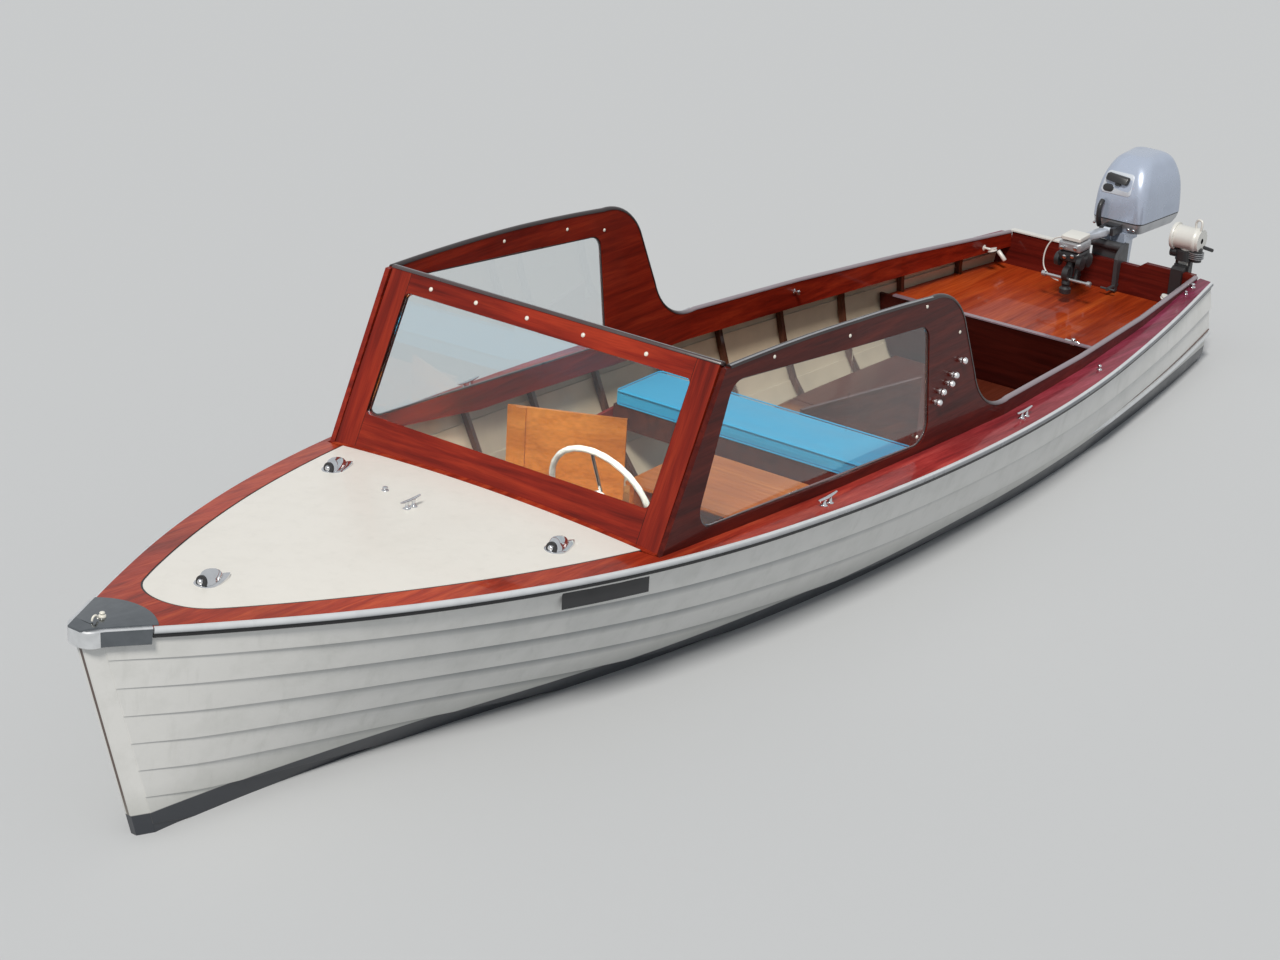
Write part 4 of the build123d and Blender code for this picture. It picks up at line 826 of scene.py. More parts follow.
def moved_left(edge, distance):
    """A plan line moved to its left by a distance."""
    way = unit(np.gradient(edge, axis=0))
    return edge + np.stack([-way[:, 1], way[:, 0]], -1) * distance


def deck_sheet(inner, outer, thick, lift=0.0, across=9):
    """Rings of a slab between two lines of plan points, its top on the deck's crown."""
    t = np.linspace(0, 1, across)
    x = inner[:, :1] * (1 - t) + outer[:, :1] * t
    y = inner[:, 1:] * (1 - t) + outer[:, 1:] * t
    top = crown(x.ravel(), y.ravel()).reshape(x.shape) + lift
    return np.concatenate([np.stack([x, y, top], -1), np.stack([x, y, top - thick], -1)[:, ::-1]], axis=1)


def board_outside(x):
    """Outer half breadth of the side boards."""
    return np.interp(x, BOARD_PLAN[::-1, 0], BOARD_PLAN[::-1, 1])


def covering_rows(seam_line):
    """Inner and outer plan lines of a covering board, from the bow to the transom.

    Its inner line follows the panel's seam, crosses to the side board at the screen and runs aft along it."""
    fore = seam_line[seam_line[:, 0] > PANEL_BACK + 0.002]
    bow_x = np.linspace(2.946, fore[-1, 0] + 0.004, 12)
    bow = np.stack([bow_x, np.full(12, 0.0003)], -1)
    aft_x = np.concatenate([[1.296, 1.2885], np.linspace(1.2, STERN_X, 80)])
    aft = np.stack([aft_x, board_outside(aft_x) + 0.0004], -1)
    inner = np.concatenate([bow, fore[::-1], aft])
    return inner, np.stack([inner[:, 0], sheer_line(inner[:, 0])[0] + 0.0008], -1)


panel_line = panel_edge()
slab = deck_sheet(panel_line * (1, -1), panel_line, PANEL_THICK, across=25)
panel = ring_solid("painted_deck_panel", slab, deck_cream, bevel=0.0008)
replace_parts(panel, "foredeck_panel")
seam_out = moved_left(panel_line, SEAM + SEAM_HIDDEN)
seam_out[:, 1] = np.maximum(seam_out[:, 1], 0.0)
seam = deck_sheet(moved_left(panel_line, -SEAM_HIDDEN), seam_out, 0.003, -0.0012, 3)
for word, flip in SIDES.items():
    ring_solid("panel_seam_" + word, flip(seam), black_line)

shelf = np.array([(x, 0.0) for x in SHELF_X])
sheets = [deck_sheet(*covering_rows(seam_out), DECK), deck_sheet(shelf, shelf + (0, SHELF_HALF), DECK)]
for word, flip in SIDES.items():
    parts = [ring_part(flip(sheet)) for sheet in sheets]
    board = joined("varnished_board_" + word, parts, deck_mahogany, angle=30)
    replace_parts(board, "covering_board_" + word)


# Windscreen and side boards

SLANT = (SCREEN_TOP - SCREEN_Z) / math.cos(RAKE)
SCREEN_WAY = np.array([math.cos(RAKE), 0, math.sin(RAKE)])
SCREEN_THICK = 0.013
CAP_PROFILE = [(.0035, .0), (.0038, .006), (.0005, .0108), (-.006, .0134), (-.013, .0140), (-.020, .0134),
               (-.0265, .0108), (-.0298, .006), (-.0295, .0)]
CAP_ENDS = [(-1.0, 0.9), (-0.997, 1.0), (0.997, 1.0), (1.0, 0.9)]
CAP_LINE = [(.0012, .0095), (-.0035, .0132), (-.0043, .0124), (.0004, .0088)]
BOARD_MOULDING = [(-.0110, -.0030), (-.0112, .0012), (-.0092, .0046), (-.0048, .0070), (.0, .0078),
                  (.0048, .0070), (.0092, .0046), (.0112, .0012), (.0110, -.0030)]
BOARD_LINE = [(.0026, .0068), (.0080, .0046), (.0083, .0056), (.0029, .0080)]
LINE_END_X = -.21
RAIL_STUDS = [-.474, -.286, -.078, .145, .388]
BOARD_STUDS = [(.761, 1.048), (.337, 1.011), (-.399, .837), (-.169, .515), (-.150, .990)]
STARBOARD_STUDS = [(.392, 1.023), (.028, .985), (-.197, .933)]
CURTAIN_BALLS = [(-.425, .729), (-.374, .689), (-.350, .664), (-.296, .648), (-.273, .616)]
BALL_FOOT = [(-.001, .009), (.004, .009), (.006, .005), (.012, .005)]
BALL = [(0, .001), (.003, .0085), (.009, .0125), (.015, .0125), (.021, .0085), (.024, .001)]


def screen_at(z):
    """Place along the boat of the windscreen's front face at a height."""
    return SCREEN_X - (z - SCREEN_Z) * math.tan(RAKE)


def on_screen(across, up, out=0.0):
    """Point in the windscreen's own plane: across the boat, up the slope, and out of its front face."""
    c, s = math.cos(RAKE), math.sin(RAKE)
    return np.array([SCREEN_X - up * s + out * c, across, SCREEN_Z + up * c + out * s])


def wing_top():
    """Points (x, z) along a side board's upper edge: long arched top, S-curve down, low coaming aft."""
    front = (screen_at(1.072) - 0.020, 1.0722)
    peak, shoulder, waist = (-.190, 1.008), (-.425, .878), (-.540, .648)
    foot, middle, end = (-.830, .4734), (-1.500, .442), (-2.968, .370)
    crest = ((front[0] + peak[0]) / 2, (front[1] + peak[1]) / 2 + .016)
    pieces = [arc_through(front, crest, peak, 26), arc_through(peak, (-.330, .972), shoulder, 12)[1:],
              np.linspace(shoulder, waist, 5)[1:], arc_through(waist, (-.602, .552), foot, 14)[1:],
              np.linspace(foot, middle, 8)[1:], np.linspace(middle, end, 16)[1:]]
    return np.concatenate(pieces)


def along_board(points, depth):
    """Points (x, z) set on a side board at a depth in from its outer face."""
    return np.stack([points[:, 0], board_outside(points[:, 0]) - depth, points[:, 1]], -1)


def board_face(x, z, sign, inner=False):
    """Place on the outer or inner face of a side board, and the way out of it."""
    half = board_outside(x) - (BOARD if inner else 0)
    return np.array([x, sign * half, z]), ACROSS * sign * (-1 if inner else 1)


def stud(place, axis, radius=0.0065, height=0.004):
    """Screw cover with a shallow round head, a quarter of an ellipse turned about its axis."""
    head = [(height * math.sin(a), radius * math.cos(a)) for a in np.linspace(0, np.pi / 2, 6)]
    return turned([(-0.001, radius)] + head, place, axis, 20)


rings = [[on_screen(share * (SCREEN_HALF + 0.004), SLANT + b * pull, (a + SCREEN_THICK) * pull - SCREEN_THICK)
          for a, b in CAP_PROFILE] for share, pull in CAP_ENDS]
cap = ring_solid("windscreen_moulding", rings, cap_dark, angle=50)
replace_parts(cap, "windscreen_cap")
rings = [[on_screen(y, SLANT + b, a) for a, b in CAP_LINE] for y in (-SCREEN_HALF, SCREEN_HALF)]
ring_solid("windscreen_metal_line", rings, dull_metal)

board_top = along_board(wing_top(), BOARD / 2)
moulding = swept(board_top, BOARD_MOULDING)
metal_line = swept(board_top[board_top[:, 0] > LINE_END_X], BOARD_LINE)
for word, flip in SIDES.items():
    ring_solid("board_moulding_" + word, flip(moulding), edge_varnish, angle=45)
    ring_solid("board_metal_line_" + word, flip(metal_line), dull_metal)

heads = [stud(on_screen(y, SLANT - .033), SCREEN_WAY, .0075, .0045) for y in RAIL_STUDS]
joined("rail_studs", heads, ivory)
heads = [stud(*board_face(x, z, 1)) for x, z in BOARD_STUDS]
heads += [stud(*board_face(x, z, -1, True)) for x, z in STARBOARD_STUDS]
joined("board_studs", heads, ivory)
balls = []
for place, way in (board_face(x, z, 1) for x, z in CURTAIN_BALLS):
    balls += [turned(BALL_FOOT, place, way, 16), turned(BALL, place + way * .004, way, 20)]
joined("curtain_balls", balls, bright_metal, angle=60)


# Window beading: a narrow dark strip round each side window

BEAD_DEPTH, BEAD_WIDE, BEAD_THICK = .0045, .005, .0095


def sill_height(x, lift):
    """Height of a window's sill over the deck beside its board."""
    return on_deck(x, board_outside(x), lift)[2]


def bead_rings(ring):
    """Rings of a flat bead that follows a window's edge on the face of its board."""
    way = unit(np.roll(ring, -1, 0) - np.roll(ring, 1, 0))
    inward = np.stack([-way[:, 1], way[:, 0]], -1)
    if (inward * (ring.mean(0) - ring)).sum() < 0:
        inward = -inward
    corners = ((0.0, 0.0), (BEAD_WIDE, 0.0), (BEAD_WIDE, BEAD_THICK), (0.0, BEAD_THICK))
    lines = [along_board(ring + inward * shift, BEAD_DEPTH + rise) for shift, rise in corners]
    return np.stack(lines, axis=1)


sill_front, sill_aft = sill_height(1.1, .040), sill_height(-.25, .026)
window = [(screen_at(sill_front) - .140, sill_front), (screen_at(1.026) - .064, 1.026), (-.180, .918),
          (-.250, sill_aft)]
beading = bead_rings(rounded_loop(window, .070))
for word, flip in SIDES.items():
    ring_solid("window_bead_" + word, flip(beading), cap_dark, closed=True)


# Deck fittings

DROPS = [(2.515, 0.0), (1.515, -.445), (1.515, .445)]
DROP_SIZE = (.038, .036)
DROP_BASE = [(-.006, 1.0, 0), (.002, 1.0, 0), (.0040, .93, 0), (.0041, .74, 0)]
DROP_HOOD = [(.003, .70, 0), (.011, .66, 0), (.020, .55, -.005), (.027, .38, -.010), (.0300, .18, -.015),
             (.0305, .02, -.018)]
DROP_MOUTH = [(0, .0195), (.007, .0188), (.0072, .012)]
DROP_BALL = [(0, .001), (.002, .0065), (.006, .0095), (.012, .0095), (.016, .0065), (.018, .001)]
CLEATS = [(1.613, -.040, .090), (.480, .752, .110), (.480, -.752, .110), (-.843, .762, .110),
          (-.843, -.762, .110)]
CLEAT_FOOT = [(-.004, .0125), (.002, .0125), (.0035, .010), (.006, .0068), (.020, .0060), (.025, .0068)]
# Columns: x, y, lift, radius, height
KNOBS = [(1.552, -.195, 0.0, .009, .014), (1.188, .606, -.002, .007, .012), (-1.571, .700, 0.0, .008, .020),
         (-2.860, .492, 0.0, .009, .018), (-2.750, .511, 0.0, .007, .014)]
SIDE_KNOB = [(-.001, .012), (.003, .012), (.005, .006), (.016, .006), (.018, .011), (.024, .011),
             (.027, .004)]
RING_ARCH = [(2.935 + .010 * math.cos(a), .010, .7095 + .012 * math.sin(a))
             for a in np.linspace(0, math.pi, 9)]


def drop_outline(count=36):
    """Drop shape in plan: round ahead and pointed aft, one unit long from the round end's middle."""
    angle = full_turn(count)
    x = np.cos(angle)
    wide = np.sin(angle) * np.where(x < 0, (1 + np.minimum(x, 0)) ** 0.35, 1.0)
    return np.stack([np.where(x < 0, x * 2.4, x), wide], -1)


def drop_part(base, rows):
    """Drop-shaped solid through (height, size, shift) rows; a shift moves its ring along x and y alike."""
    outline = drop_outline() * DROP_SIZE
    rings = [np.column_stack([base[:2] + shift + outline * size, np.full(len(outline), base[2] + z)])
             for z, size, shift in rows]
    return ring_part(rings)


def cleat_parts(x, y, length):
    """Two-horned cleat: horns that taper and lift to their tips, on two feet with flanges."""
    t = np.linspace(-1, 1, 17)
    path = on_deck(x, y) + np.stack([t * length / 2, 0 * t, .025 + .004 * t ** 2], -1)
    radius = .0062 * (1 - .45 * np.abs(t) ** 2.2)
    angle = full_turn(16)
    circle = np.stack([0 * angle, np.cos(angle), .8 * np.sin(angle)], -1)
    horns = ring_part(path[:, None] + radius[:, None, None] * circle)
    return [horns] + [turned(CLEAT_FOOT, on_deck(x + a, y), UP, 20) for a in (-length / 6, length / 6)]


def knob(place, radius, height):
    """Turned knob on a flange."""
    r, h = radius, height
    rows = [(-.004, r * 1.3), (.0015, r * 1.3), (.003, r * 1.1), (.0035, r * .62), (h * .40, r * .55),
            (h * .52, r * .92), (h * .72, r), (h * .90, r * .78), (h, r * .25)]
    return turned(rows, place, UP, 24)


drops, mouths, pearls = [], [], []
for x, y in DROPS:
    base = on_deck(x, y)
    drops += [drop_part(base, DROP_BASE), drop_part(base, DROP_HOOD)]
    mouths.append(turned(DROP_MOUTH, base + (.0170, 0, .0100), (1, 0, .25), 24))
    pearls.append(turned(DROP_BALL, base + (.015, 0, .012), ALONG, 18))
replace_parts(joined("drop_fittings", drops, chrome, angle=50), "deck_drops")
joined("drop_mouths", mouths, motor_black)
joined("drop_balls", pearls, chrome, angle=60)

cleats = [part for row in CLEATS for part in cleat_parts(*row)]
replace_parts(joined("horn_cleats", cleats, chrome, angle=50), "cleats")

knobs = [knob(on_deck(x, y, lift), radius, height) for x, y, lift, radius, height in KNOBS]
knobs += [turned(SIDE_KNOB, *board_face(x, .402, sign, True), 20) for x, sign in ((-1.471, -1), (-1.571, 1))]
joined("small_chrome_knobs", knobs, chrome, angle=50)
bow_ring = [hose(RING_ARCH, .0032, 24, 10), knob((2.900, .0, .706), .008, .012)]
joined("bow_ring", bow_ring, ivory, angle=60)


# Registration plate without marks, quarter ledges and transom cap

PLATE_X = (1.335, 1.660)
PLATE_PROFILE = [(.0135, -.0275), (.0165, -.0275), (.0165, .0275), (.0135, .0275)]
LEDGE_END_X = -2.997
LEDGE_PROFILE = [(-.004, -.010), (.020, -.008), (.024, -.002), (.020, .004), (-.004, .008)]
LEDGE_LINE = [(.002, .012), (.0135, .012), (.0135, .017), (.002, .017)]
TRANSOM_CAP = [(-3.002, -.182), (-3.002, -.452), (-2.966, -.452), (-2.966, -.182)]


def hull_band(x_from, x_to, height_at, profile, count, run_out=0.0):
    """Rings of a strip laid along the planking at a height for each x, its profile set out from the planks.

    Over the run-out at its front the profile grows from a tenth to its full size."""
    rings = []
    for x in np.linspace(x_from, x_to, count):
        full = 1.0 if run_out == 0 else 0.1 + 0.9 * min(1.0, (x_from - x) / run_out)
        line = skin(smooth_rows(STATIONS, x)[0], np.linspace(0, 1, 300), PLANK)[0]
        z = height_at(x)
        y = np.interp(z, line[:, 2], line[:, 1])
        rings.append([(x, y + a * full, z + b * full) for a, b in profile])
    return rings


def plate_middle(x):
    """Height of the plate's middle: 64 mm under the sheer."""
    return smooth_rows(STATIONS, x)[0, 3] - .064


def ledge_height(x):
    """Height of the quarter ledges: level as far as x = -2, then with a slight rise to the stern."""
    return .112 + .020 * max(0.0, -x - 2.0) ** 2


ring_solid("blank_plate", hull_band(*PLATE_X, plate_middle, PLATE_PROFILE, 12), motor_black,
           bevel=.0012)
ledge = hull_band(-1.45, LEDGE_END_X, ledge_height, LEDGE_PROFILE, 50, 0.30)
ledge_line = hull_band(-1.60, LEDGE_END_X, ledge_height, LEDGE_LINE, 50)
for word, flip in SIDES.items():
    ring_solid("quarter_ledge_" + word, flip(ledge), rail_grey)
    ring_solid("quarter_line_" + word, flip(ledge_line), rib_brown)
joined("transom_cap", [plate(rounded_loop(TRANSOM_CAP, .006), .3742, .3800)], tank_white)


# Cockpit

CUSHION_LOW, CUSHION_HIGH = (np.array(corner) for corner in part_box("bench_cushion"))
CLOTH_FRAMES = 20
CLOTH_REACH = .009
CORD = .0028


def bake(obj):
    """Makes the object's modifiers real."""
    graph = bpy.context.evaluated_depsgraph_get()
    mesh = bpy.data.meshes.new_from_object(obj.evaluated_get(graph))
    obj.modifiers.clear()
    obj.data = mesh


def points_of(mesh):
    """All points of a mesh as an array."""
    return np.array([v.co[:] for v in mesh.vertices])


def set_points(mesh, points):
    """Moves all points of a mesh."""
    mesh.vertices.foreach_set("co", points.ravel())
    mesh.update()


def blow_up(obj, middle, size):
    """Cloth under inner pressure with no gravity, its motion kept to a few millimetres and least at edges."""
    before = points_of(obj.data)
    away = np.abs(before - middle) / (size / 2)
    held = np.clip(np.sort(away, axis=1)[:, 1] * 1.4 - .4, 0, 1)
    group = obj.vertex_groups.new(name="held")
    for index, weight in enumerate(held):
        group.add([index], float(weight), "REPLACE")
    cloth = obj.modifiers.new("cover_cloth", "CLOTH")
    cloth.settings.use_pressure = True
    cloth.settings.uniform_pressure_force = 4.0
    cloth.settings.effector_weights.gravity = 0.0
    cloth.settings.tension_stiffness = 20
    cloth.settings.compression_stiffness = 20
    cloth.settings.bending_stiffness = 2.0
    cloth.settings.quality = 5
    cloth.settings.vertex_group_mass = "held"
    cloth.point_cache.frame_end = CLOTH_FRAMES
    scene = bpy.context.scene
    for step in range(1, CLOTH_FRAMES + 1):
        scene.frame_set(step)
    bake(obj)
    scene.frame_set(1)
    move = points_of(obj.data) - before
    length = np.linalg.norm(move, axis=1)[:, None] + 1e-9
    set_points(obj.data, before + move * np.minimum(1, CLOTH_REACH / length))


def cushion():
    """Box cushion of the bench: a block of small even faces, blown up by cloth pressure."""
    middle, size = (CUSHION_LOW + CUSHION_HIGH) / 2, CUSHION_HIGH - CUSHION_LOW
    mesh = bpy.data.meshes.new("bench_cushion_cover")
    work = bmesh.new()
    bmesh.ops.create_cube(work, size=1.0)
    for v in work.verts:
        v.co = middle + np.array(v.co) * (size - (.012, .010, .006))
    work.to_mesh(mesh)
    work.free()
    obj = linked("bench_cushion_cover", mesh, blue_cover)
    grid = obj.modifiers.new("even_faces", "REMESH")
    grid.mode = "VOXEL"
    grid.voxel_size = .0085
    bake(obj)
    blow_up(obj, middle, size)
    set_points(obj.data, np.clip(points_of(obj.data), CUSHION_LOW - .004, CUSHION_HIGH + .005))
    smooth = obj.modifiers.new("soft_edges", "SUBSURF")
    smooth.levels = smooth.render_levels = 1
    shade_by_angle(obj, 60)
    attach(obj, "hull")
    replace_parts(obj, "bench_cushion")


def piping(level):
    """Rings of the corded seam round the cushion at a level."""
    (x0, y0), (x1, y1) = CUSHION_LOW[:2] + .004, CUSHION_HIGH[:2] - .002
    loop = rounded_loop([(x0, y0), (x1, y0), (x1, y1), (x0, y1)], .020, 7)
    way = unit(np.roll(loop, -1, 0) - np.roll(loop, 1, 0))
    side = np.stack([way[:, 1], -way[:, 0]], -1) * CORD
    return [[(x + a * math.cos(t), y + b * math.cos(t), level + CORD * math.sin(t)) for t in full_turn(10)]
            for (x, y), (a, b) in zip(loop, side)]


cushion()
for word, level in (("top", CUSHION_HIGH[2] - .004), ("foot", CUSHION_LOW[2] + .006)):
    ring_solid("cushion_piping_" + word, piping(level), blue_cover, closed=True)

WHEEL = np.array([1.060, .273, .545])
WHEEL_TILT = math.radians(19.0)
WHEEL_WAY = np.array([-math.cos(WHEEL_TILT), 0, math.sin(WHEEL_TILT)])
WHEEL_UP = np.array([math.sin(WHEEL_TILT), 0, math.cos(WHEEL_TILT)])
WHEEL_RADIUS = .190
RIM, GRIP, GRIPS = .0104, .0005, 24
SPOKE = [(.020, .006), (.080, .004), (.150, .001), (.184, 0)]
HUB = [(-.030, .026), (-.026, .031), (-.006, .033), (.000, .031), (.004, .024)]
HUB_CAP = [(.003, .021), (.008, .0205), (.0115, .016), (.0135, .009), (.014, .001)]


def on_wheel(radius, angle, out=0.0):
    """Point on the wheel's plane."""
    return WHEEL + radius * (math.cos(angle) * ACROSS + math.sin(angle) * WHEEL_UP) + out * WHEEL_WAY


def rim_ring(a):
    """Section of the rim at an angle; its thickness waves a little, for the finger grips."""
    thick = RIM + GRIP * math.cos(GRIPS * a)
    way = on_wheel(1, a) - WHEEL
    middle = on_wheel(WHEEL_RADIUS, a)
    return [middle + thick * (math.cos(t) * way + math.sin(t) * WHEEL_WAY) for t in full_turn(16)]


rim = [rim_ring(a) for a in full_turn(144)]
rim = ring_solid("wheel_rim", rim, ivory, "wheel", 60, closed=True)
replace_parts(rim, "steering_wheel")
spokes = [hose([on_wheel(radius, math.radians(a), out) for radius, out in SPOKE], .0058, 16, 12)
          for a in (90, 210, 330)]
joined("wheel_spokes", spokes, chrome, "wheel", 60)
joined("wheel_hub", [turned(HUB, WHEEL, WHEEL_WAY, 36)], ivory, "wheel")
joined("wheel_cap", [turned(HUB_CAP, WHEEL, WHEEL_WAY, 36)], chrome, "wheel")


# Main motor

COWL_FRONT = -3.076
COWL_LENGTH = .372
COWL_WIDE = .292
COWL_NOSE = .82
COWL_FULL = .0015
PAN_Z = .450
COWL_Z = PAN_Z + .0523
HANDLE_Y = -.068

# Columns: height, size, shift along, corner radius
COWL_ROWS = np.array([
    (0, 1.0, 0, .044), (.040, .997, -.0008, .045), (.085, .985, -.002, .048), (.125, .965, -.004, .052),
    (.165, .915, -.0075, .056), (.200, .84, -.012, .062), (.225, .765, -.016, .068), (.245, .68, -.020, .074),
    (.258, .585, -.0225, .078), (.265, .50, -.0235, .080), (.2685, .40, -.024, .080),
])
PAN_ROWS = [(0, .86, .006, .044), (.006, .895, .005, .044), (.024, .955, .002, .044), (.040, .982, 0, .044),
            (.0475, .985, 0, .044)]
GASKET_ROWS = [(.0470, .990, 0, .044), (.0530, .990, 0, .044)]
STARTER_PANEL = [(-.094, .112), (.052, .112), (.048, .205), (-.082, .205)]
STARTER_GRIP = [(-.078, .168), (.030, .160), (.033, .190), (-.076, .198)]
GRIP_STEM = [(-.030, .150), (-.004, .150), (-.004, .172), (-.030, .172)]
VENT = [(-.084, .118), (-.034, .118), (-.034, .150), (-.084, .150)]
HANDLE = [(-3.060, .468), (-3.046, .490), (-3.040, .530), (-3.046, .562), (-3.066, .580)]
PAN_SCREW = [(-.004, .007), (.002, .007), (.004, .004)]


def cowl_front(size, shift):
    """Place along the boat of the cowl's front for a row's size and shift."""
    return COWL_FRONT - COWL_LENGTH * (1 - size) / 2 + shift


def cowl_ring(z, size, shift, corner):
    """Outline of the cowl at a height: narrower in front, corners rounded, sides slightly full."""
    front, back = cowl_front(size, shift), COWL_FRONT - COWL_LENGTH * (1 + size) / 2 + shift
    wide = COWL_WIDE * size / 2
    narrow = wide * COWL_NOSE
    ring = rounded_loop([(front, -narrow), (front, narrow), (back, wide), (back, -wide)], corner * size, 14)
    full = ring + unit(ring - ring.mean(0)) * COWL_FULL
    return np.column_stack([full, np.full(len(ring), z)])


def cowl_part(rows, base):
    """Rings of the cowl's outline at rows of (height, size, shift, corner) over a base height."""
    return [cowl_ring(base + h, size, shift, corner) for h, size, shift, corner in rows]


def face_plate(corners, radius, rise, spread):
    """Plate on the cowl's front face from (y, height) corners; its front is grown by a spread."""
    loop = rounded_loop(corners, radius)
    middle = loop.mean(0)
    rings = []
    for lift, grow in ((-.002, 0.0), (rise * .7, 0.0), (rise, spread)):
        ring = middle + (loop - middle) * (1 + grow)
        size, shift = smooth_rows(COWL_ROWS, ring[:, 1])[:, 1:3].T
        x = cowl_front(size, shift) + COWL_FULL + lift
        rings.append(np.stack([x, ring[:, 0], COWL_Z + ring[:, 1]], -1))
    return ring_part(rings)


cowl_rows = smooth_rows(COWL_ROWS, np.concatenate([np.linspace(0, .265, 36), [.2672, .2682]]))
cowl = ring_solid("cowl_shell", cowl_part(cowl_rows, COWL_Z), motor_silver, "motor", 45)
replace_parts(cowl, "motor_cowl")
pan = ring_solid("cowl_pan", cowl_part(PAN_ROWS, PAN_Z), motor_bare, "motor", 45)
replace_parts(pan, "motor_pan")
ring_solid("cowl_gasket", cowl_part(GASKET_ROWS, PAN_Z), motor_black, "motor")
panel = face_plate(STARTER_PANEL, .016, .0028, -.03)
joined("starter_panel", [panel], motor_light, "motor", 60)
grip = [face_plate(STARTER_GRIP, .009, .020, -.12), face_plate(GRIP_STEM, .006, .012, -.1)]
joined("starter_grip", grip, motor_black, "motor", 60)
joined("starter_vent", [face_plate(VENT, .0155, .0045, -.25)], motor_black, "motor", 60)
handle = hose([(x, HANDLE_Y, z) for x, z in HANDLE], .0115, 30, 14)
joined("carry_handle", [handle], motor_black, "motor", 60)
screws = [turned(PAN_SCREW, (-3.062, y, .476), ALONG, 16) for y in (-.095, .070, .095)]
joined("pan_screws", screws, chrome, "motor", 60)


# Steering head ahead of the main motor, kept level by its wires

ARM = [(-2.984, .470, .016, .013), (-2.960, .472, .022, .017), (-2.880, .478, .021, .016),
       (-2.790, .486, .019, .015), (-2.770, .488, .026, .021), (-2.735, .490, .028, .022)]
ARM_EYE = [(-.0168, .010), (-.0160, .0150), (.0160, .0150), (.0168, .010)]
LID = [(-2.742, .514, .040, .006), (-2.738, .514, .046, .010), (-2.652, .510, .046, .010),
       (-2.646, .510, .040, .006)]
CASTING = [(-2.750, .478, .040, .014), (-2.742, .478, .052, .021), (-2.650, .475, .052, .021),
           (-2.640, .475, .040, .014)]
HEAD = [(-2.750, .433, .040, .014), (-2.742, .433, .052, .022), (-2.650, .430, .052, .022),
        (-2.640, .430, .040, .014)]
ROLLER = [(-.012, .018), (-.010, .030), (.010, .030), (.012, .018)]
DROP_WHEEL = [(-.016, .014), (-.013, .034), (.013, .034), (.016, .014)]
DROP_FOOT = [(0, .012), (.006, .026), (.026, .026), (.034, .018), (.040, .018)]
ROD_END = [(-.010, .005), (-.008, .012), (.008, .012), (.010, .005)]
HEAD_BOLT = [(0, .006), (.003, .009), (.010, .009), (.012, .005)]
CABLE = [(-2.700, -.046, .502), (-2.690, -.100, .478), (-2.680, -.128, .420), (-2.668, -.118, .350),
         (-2.660, -.075, .318), (-2.655, -.038, .312)]


def box_link(rows):
    """Beam through (x, z, half width, half height) rows with rounded corners."""
    rings = []
    for x, z, wide, high in rows:
        corners = [(-wide, -high), (wide, -high), (wide, high), (-wide, high)]
        rings.append([(x, a, z + b) for a, b in rounded_loop(corners, min(wide, high) * .45, 5)])
    return ring_part(rings)


eye = turned(ARM_EYE, (-3.004, 0, .470), ACROSS, 28)
neck = bar((-3.000, 0, .470), (-2.960, 0, .472), .0125)
arm = joined("steering_arm", [box_link(ARM), eye, neck], motor_light, "tiller")
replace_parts(arm, "tiller_arm")
joined("head_lid", [box_link(LID)], tank_white, "tiller")
joined("head_casting", [box_link(CASTING)], motor_bare, "tiller")
head = [box_link(HEAD)]
head += [turned(ROLLER, (x, y, .408), ACROSS, 28) for x in (-2.728, -2.664) for y in (-.052, .052)]
head += [bar((-2.690, 0, .425), (-2.650, 0, .300), .020)]
head += [bar((-2.700, .030, .425), (-2.664, .034, .315), .009)]
head += [turned(DROP_WHEEL, (-2.657, 0, .352), ACROSS, 30), turned(DROP_FOOT, (-2.652, 0, .262), UP, 28)]
joined("steering_head", head, motor_black, "tiller")
rod = [bar((-2.652, -.112, .330), (-2.652, .112, .330), .0065)]
rod += [turned(ROD_END, (-2.652, y, .330), ACROSS, 20) for y in (-.108, .108)]
joined("cross_rod", rod, motor_bare, "tiller")
bolts = [turned(HEAD_BOLT, (-2.640, y, z), ALONG, 18)
         for y, z in ((-.030, .470), (.024, .440), (.034, .478), (-.012, .432))]
joined("head_bolts", bolts, chrome, "tiller")
joined("throttle_cable", [hose(CABLE, .0032, 60, 10)], tank_white, "tiller", 60)


# Small motor's details, from the middle of its drum

AUX = np.array([-3.034, .368, .512])
DRUM = [(-.066, .010), (-.066, .047), (-.062, .0505), (-.055, .0515), (.030, .0515), (.036, .054),
        (.044, .054), (.050, .050), (.058, .046), (.0625, .036), (.064, .012)]
DRUM_FLANGE = [(-.0085, .040), (-.0085, .0585), (-.0055, .0605), (.0035, .0605), (.006, .0585),
               (.006, .050)]
BAIL = [(.0, .030, .048), (.004, .030, .078), (.010, .040, .092), (.014, .058, .090), (.016, .062, .070),
        (.014, .058, .040)]
BLOCK = [(-.040, .030), (-.036, .042), (.006, .042), (.012, .030)]
CYLINDER = [(-.030, .012), (-.026, .026), (.030, .026), (.036, .016)]
CARBURETTOR = [(-.018, .010), (-.016, .022), (.018, .022), (.020, .012)]
FIN = [(-.0012, .030), (-.0012, .034), (.0012, .034), (.0012, .030)]

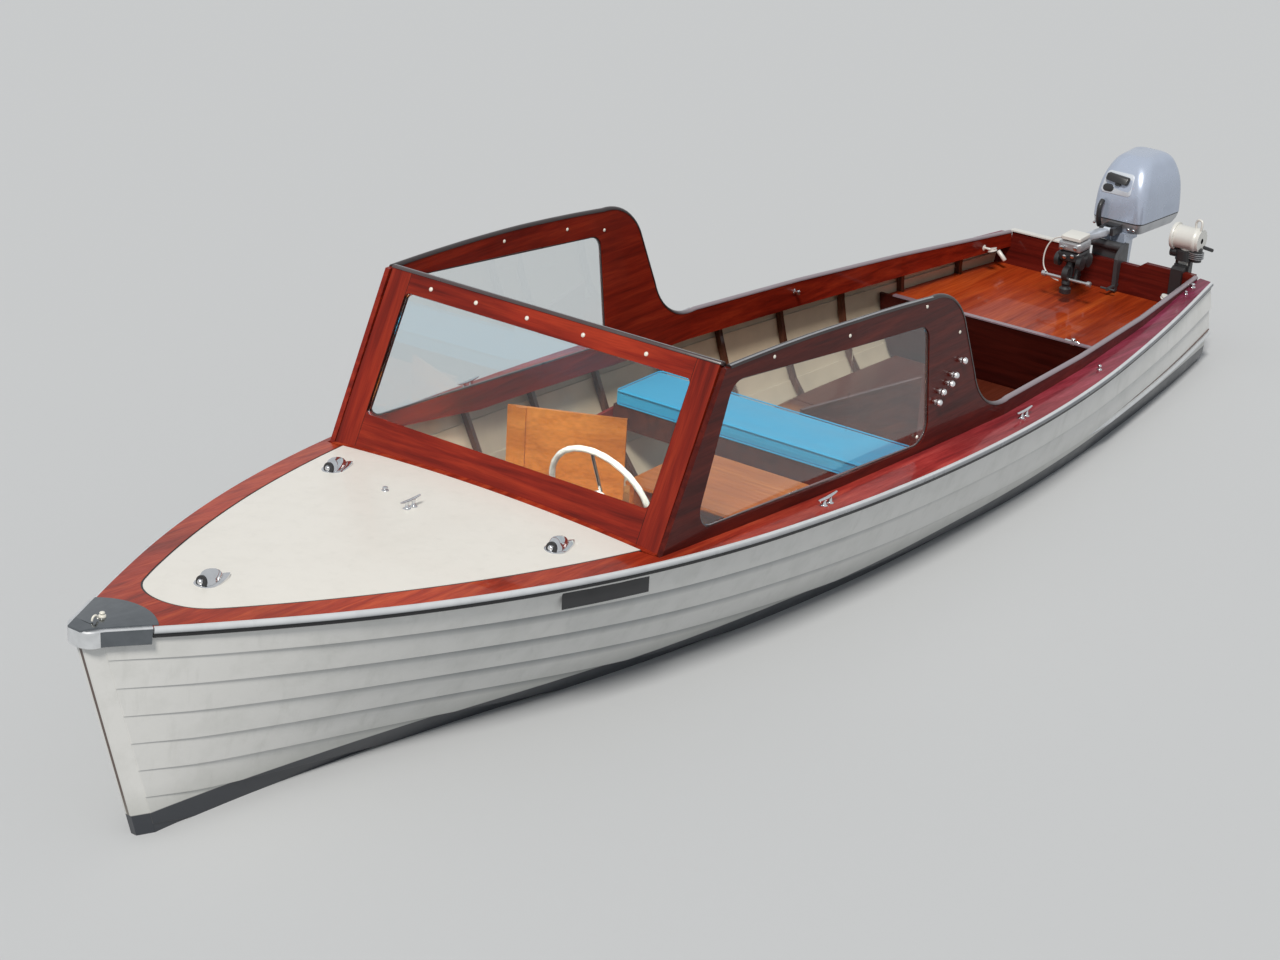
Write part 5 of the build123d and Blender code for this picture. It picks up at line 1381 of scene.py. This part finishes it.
drum = [turned(DRUM, AUX, ACROSS, 48), turned(DRUM_FLANGE, AUX + (0, -.056, 0), ACROSS, 48)]
joined("starter_drum", drum, tank_white, "aux_outboard", 50)
joined("carry_loop", [hose(AUX + BAIL, .0055, 36, 12)], tank_white, "aux_outboard", 60)
engine = [turned(BLOCK, AUX + (0, -.004, -.060), UP, 24), turned(CYLINDER, AUX + (.006, .048, -.066), UP, 24),
          turned(CARBURETTOR, AUX + (.004, -.052, -.070), ACROSS, 24),
          bar(AUX + (-.02, .056, -.03), AUX + (-.07, .090, -.052), .008),
          bar(AUX + (0, -.030, -.05), AUX + (0, -.064, -.044), .006)]
joined("small_engine_block", engine, motor_black, "aux_outboard", 50)
fins = [turned(FIN, AUX + (.006, .048, -.052 - .008 * k), UP, 24) for k in range(4)]
joined("small_engine_fins", fins, motor_bare, "aux_outboard", 50)


# Steering pulleys at the quarters, fitting and capping of the after bulkhead

SHEAVE = [(-.007, .008), (-.007, .021), (-.004, .0215), (0, .017), (.004, .0215), (.007, .021), (.007, .008)]
PULLEY_PAD = [(-.004, .014), (0, .014), (.003, .009)]
PULLEY_REACH = .040
PULLEYS = [(-2.777, .332, -1), (-2.700, .340, 1)]
FAIRLEAD_X = -2.878
CAPPING = [(-2.174, -.560), (-2.148, -.560), (-2.148, .560), (-2.174, .560)]


def pulley(x, z, sign):
    """Wire wheel on a bracket that is screwed to the inside of a side board."""
    place = np.array([x, sign * (board_outside(x) - BOARD - PULLEY_REACH), z])
    return [turned(SHEAVE, place, (0, .35 * sign, 1), 28), bar(place, place + (0, sign * .042, 0), .0055),
            turned(PULLEY_PAD, place + (0, sign * PULLEY_REACH, 0), -sign * ACROSS, 20)]


pulleys = [part for row in PULLEYS for part in pulley(*row)]
side = -board_outside(FAIRLEAD_X)
pulleys.append(bar((FAIRLEAD_X, side + .060, .262), (FAIRLEAD_X, side + .020, .300), .010))
joined("quarter_pulleys", pulleys, tank_white, angle=50)
fitting = [knob((-2.161, .300, .236), .010, .024), bar((-2.161, .262, .244), (-2.161, .330, .244), .006)]
joined("bulkhead_fitting", fitting, chrome, angle=50)
joined("bulkhead_capping", [plate(CAPPING, .2362, .2420)], varnish_painted_reflection)


# Studio

FLOOR_REACH = 60.0
STEM_AT_WATER = (2.795, 0.004)


def studio_floor():
    """Pale floor at the waterline with an opening in the shape of the hull's waterline.

    Strips run from the waterline out to each side; two wide pieces close it ahead and astern."""
    edge = []
    for row in rows_at(61):
        ring = skin(row, np.linspace(0, 1, 200), PLANK * 0.5)[0]
        edge.append([np.interp(0.0, ring[:, 2], ring[:, k]) for k in range(2)])
    edge = np.array(edge + [STEM_AT_WATER])
    points, faces = [], []
    for sign in (1, -1):
        start = len(points)
        for x, y in edge:
            points += [(x, sign * y, 0), (x, sign * FLOOR_REACH, 0)]
        faces += grid_faces(len(edge), 2, start, flip=sign > 0)
    for x0, x1 in ((-FLOOR_REACH, edge[0, 0]), (edge[-1, 0], FLOOR_REACH)):
        start = len(points)
        points += [(x0, -FLOOR_REACH, 0), (x1, -FLOOR_REACH, 0), (x1, FLOOR_REACH, 0), (x0, FLOOR_REACH, 0)]
        faces.append(list(range(start, start + 4)))
    mat, tree, shader = blank("pale_floor", (0.80, 0.81, 0.82), 0.9)
    shader.inputs["Specular IOR Level"].default_value = 0.1
    tone = mixed(tree, "MIX", seen_directly(tree), (0.36, 0.37, 0.38), (0.57, 0.58, 0.59))
    tree.links.new(tone, shader.inputs["Base Color"])
    mesh = bpy.data.meshes.new("floor")
    mesh.from_pydata(points, [], faces)
    linked("floor", mesh, mat)


bpy.context.scene.camera = look_from("photo_camera", (7.150, 4.676, 3.762), 214.961, -22.719, 3.293, 73.125)
bpy.context.scene.view_settings.view_transform = "Standard"
pale_world(0.42, (0.90, 0.95, 1.0), (0.60, 0.615, 0.63))
sun_light("key", (5.2, 2.3, 6.9), 12.0, 2.6, (1.0, 0.97, 0.92))
studio_floor()
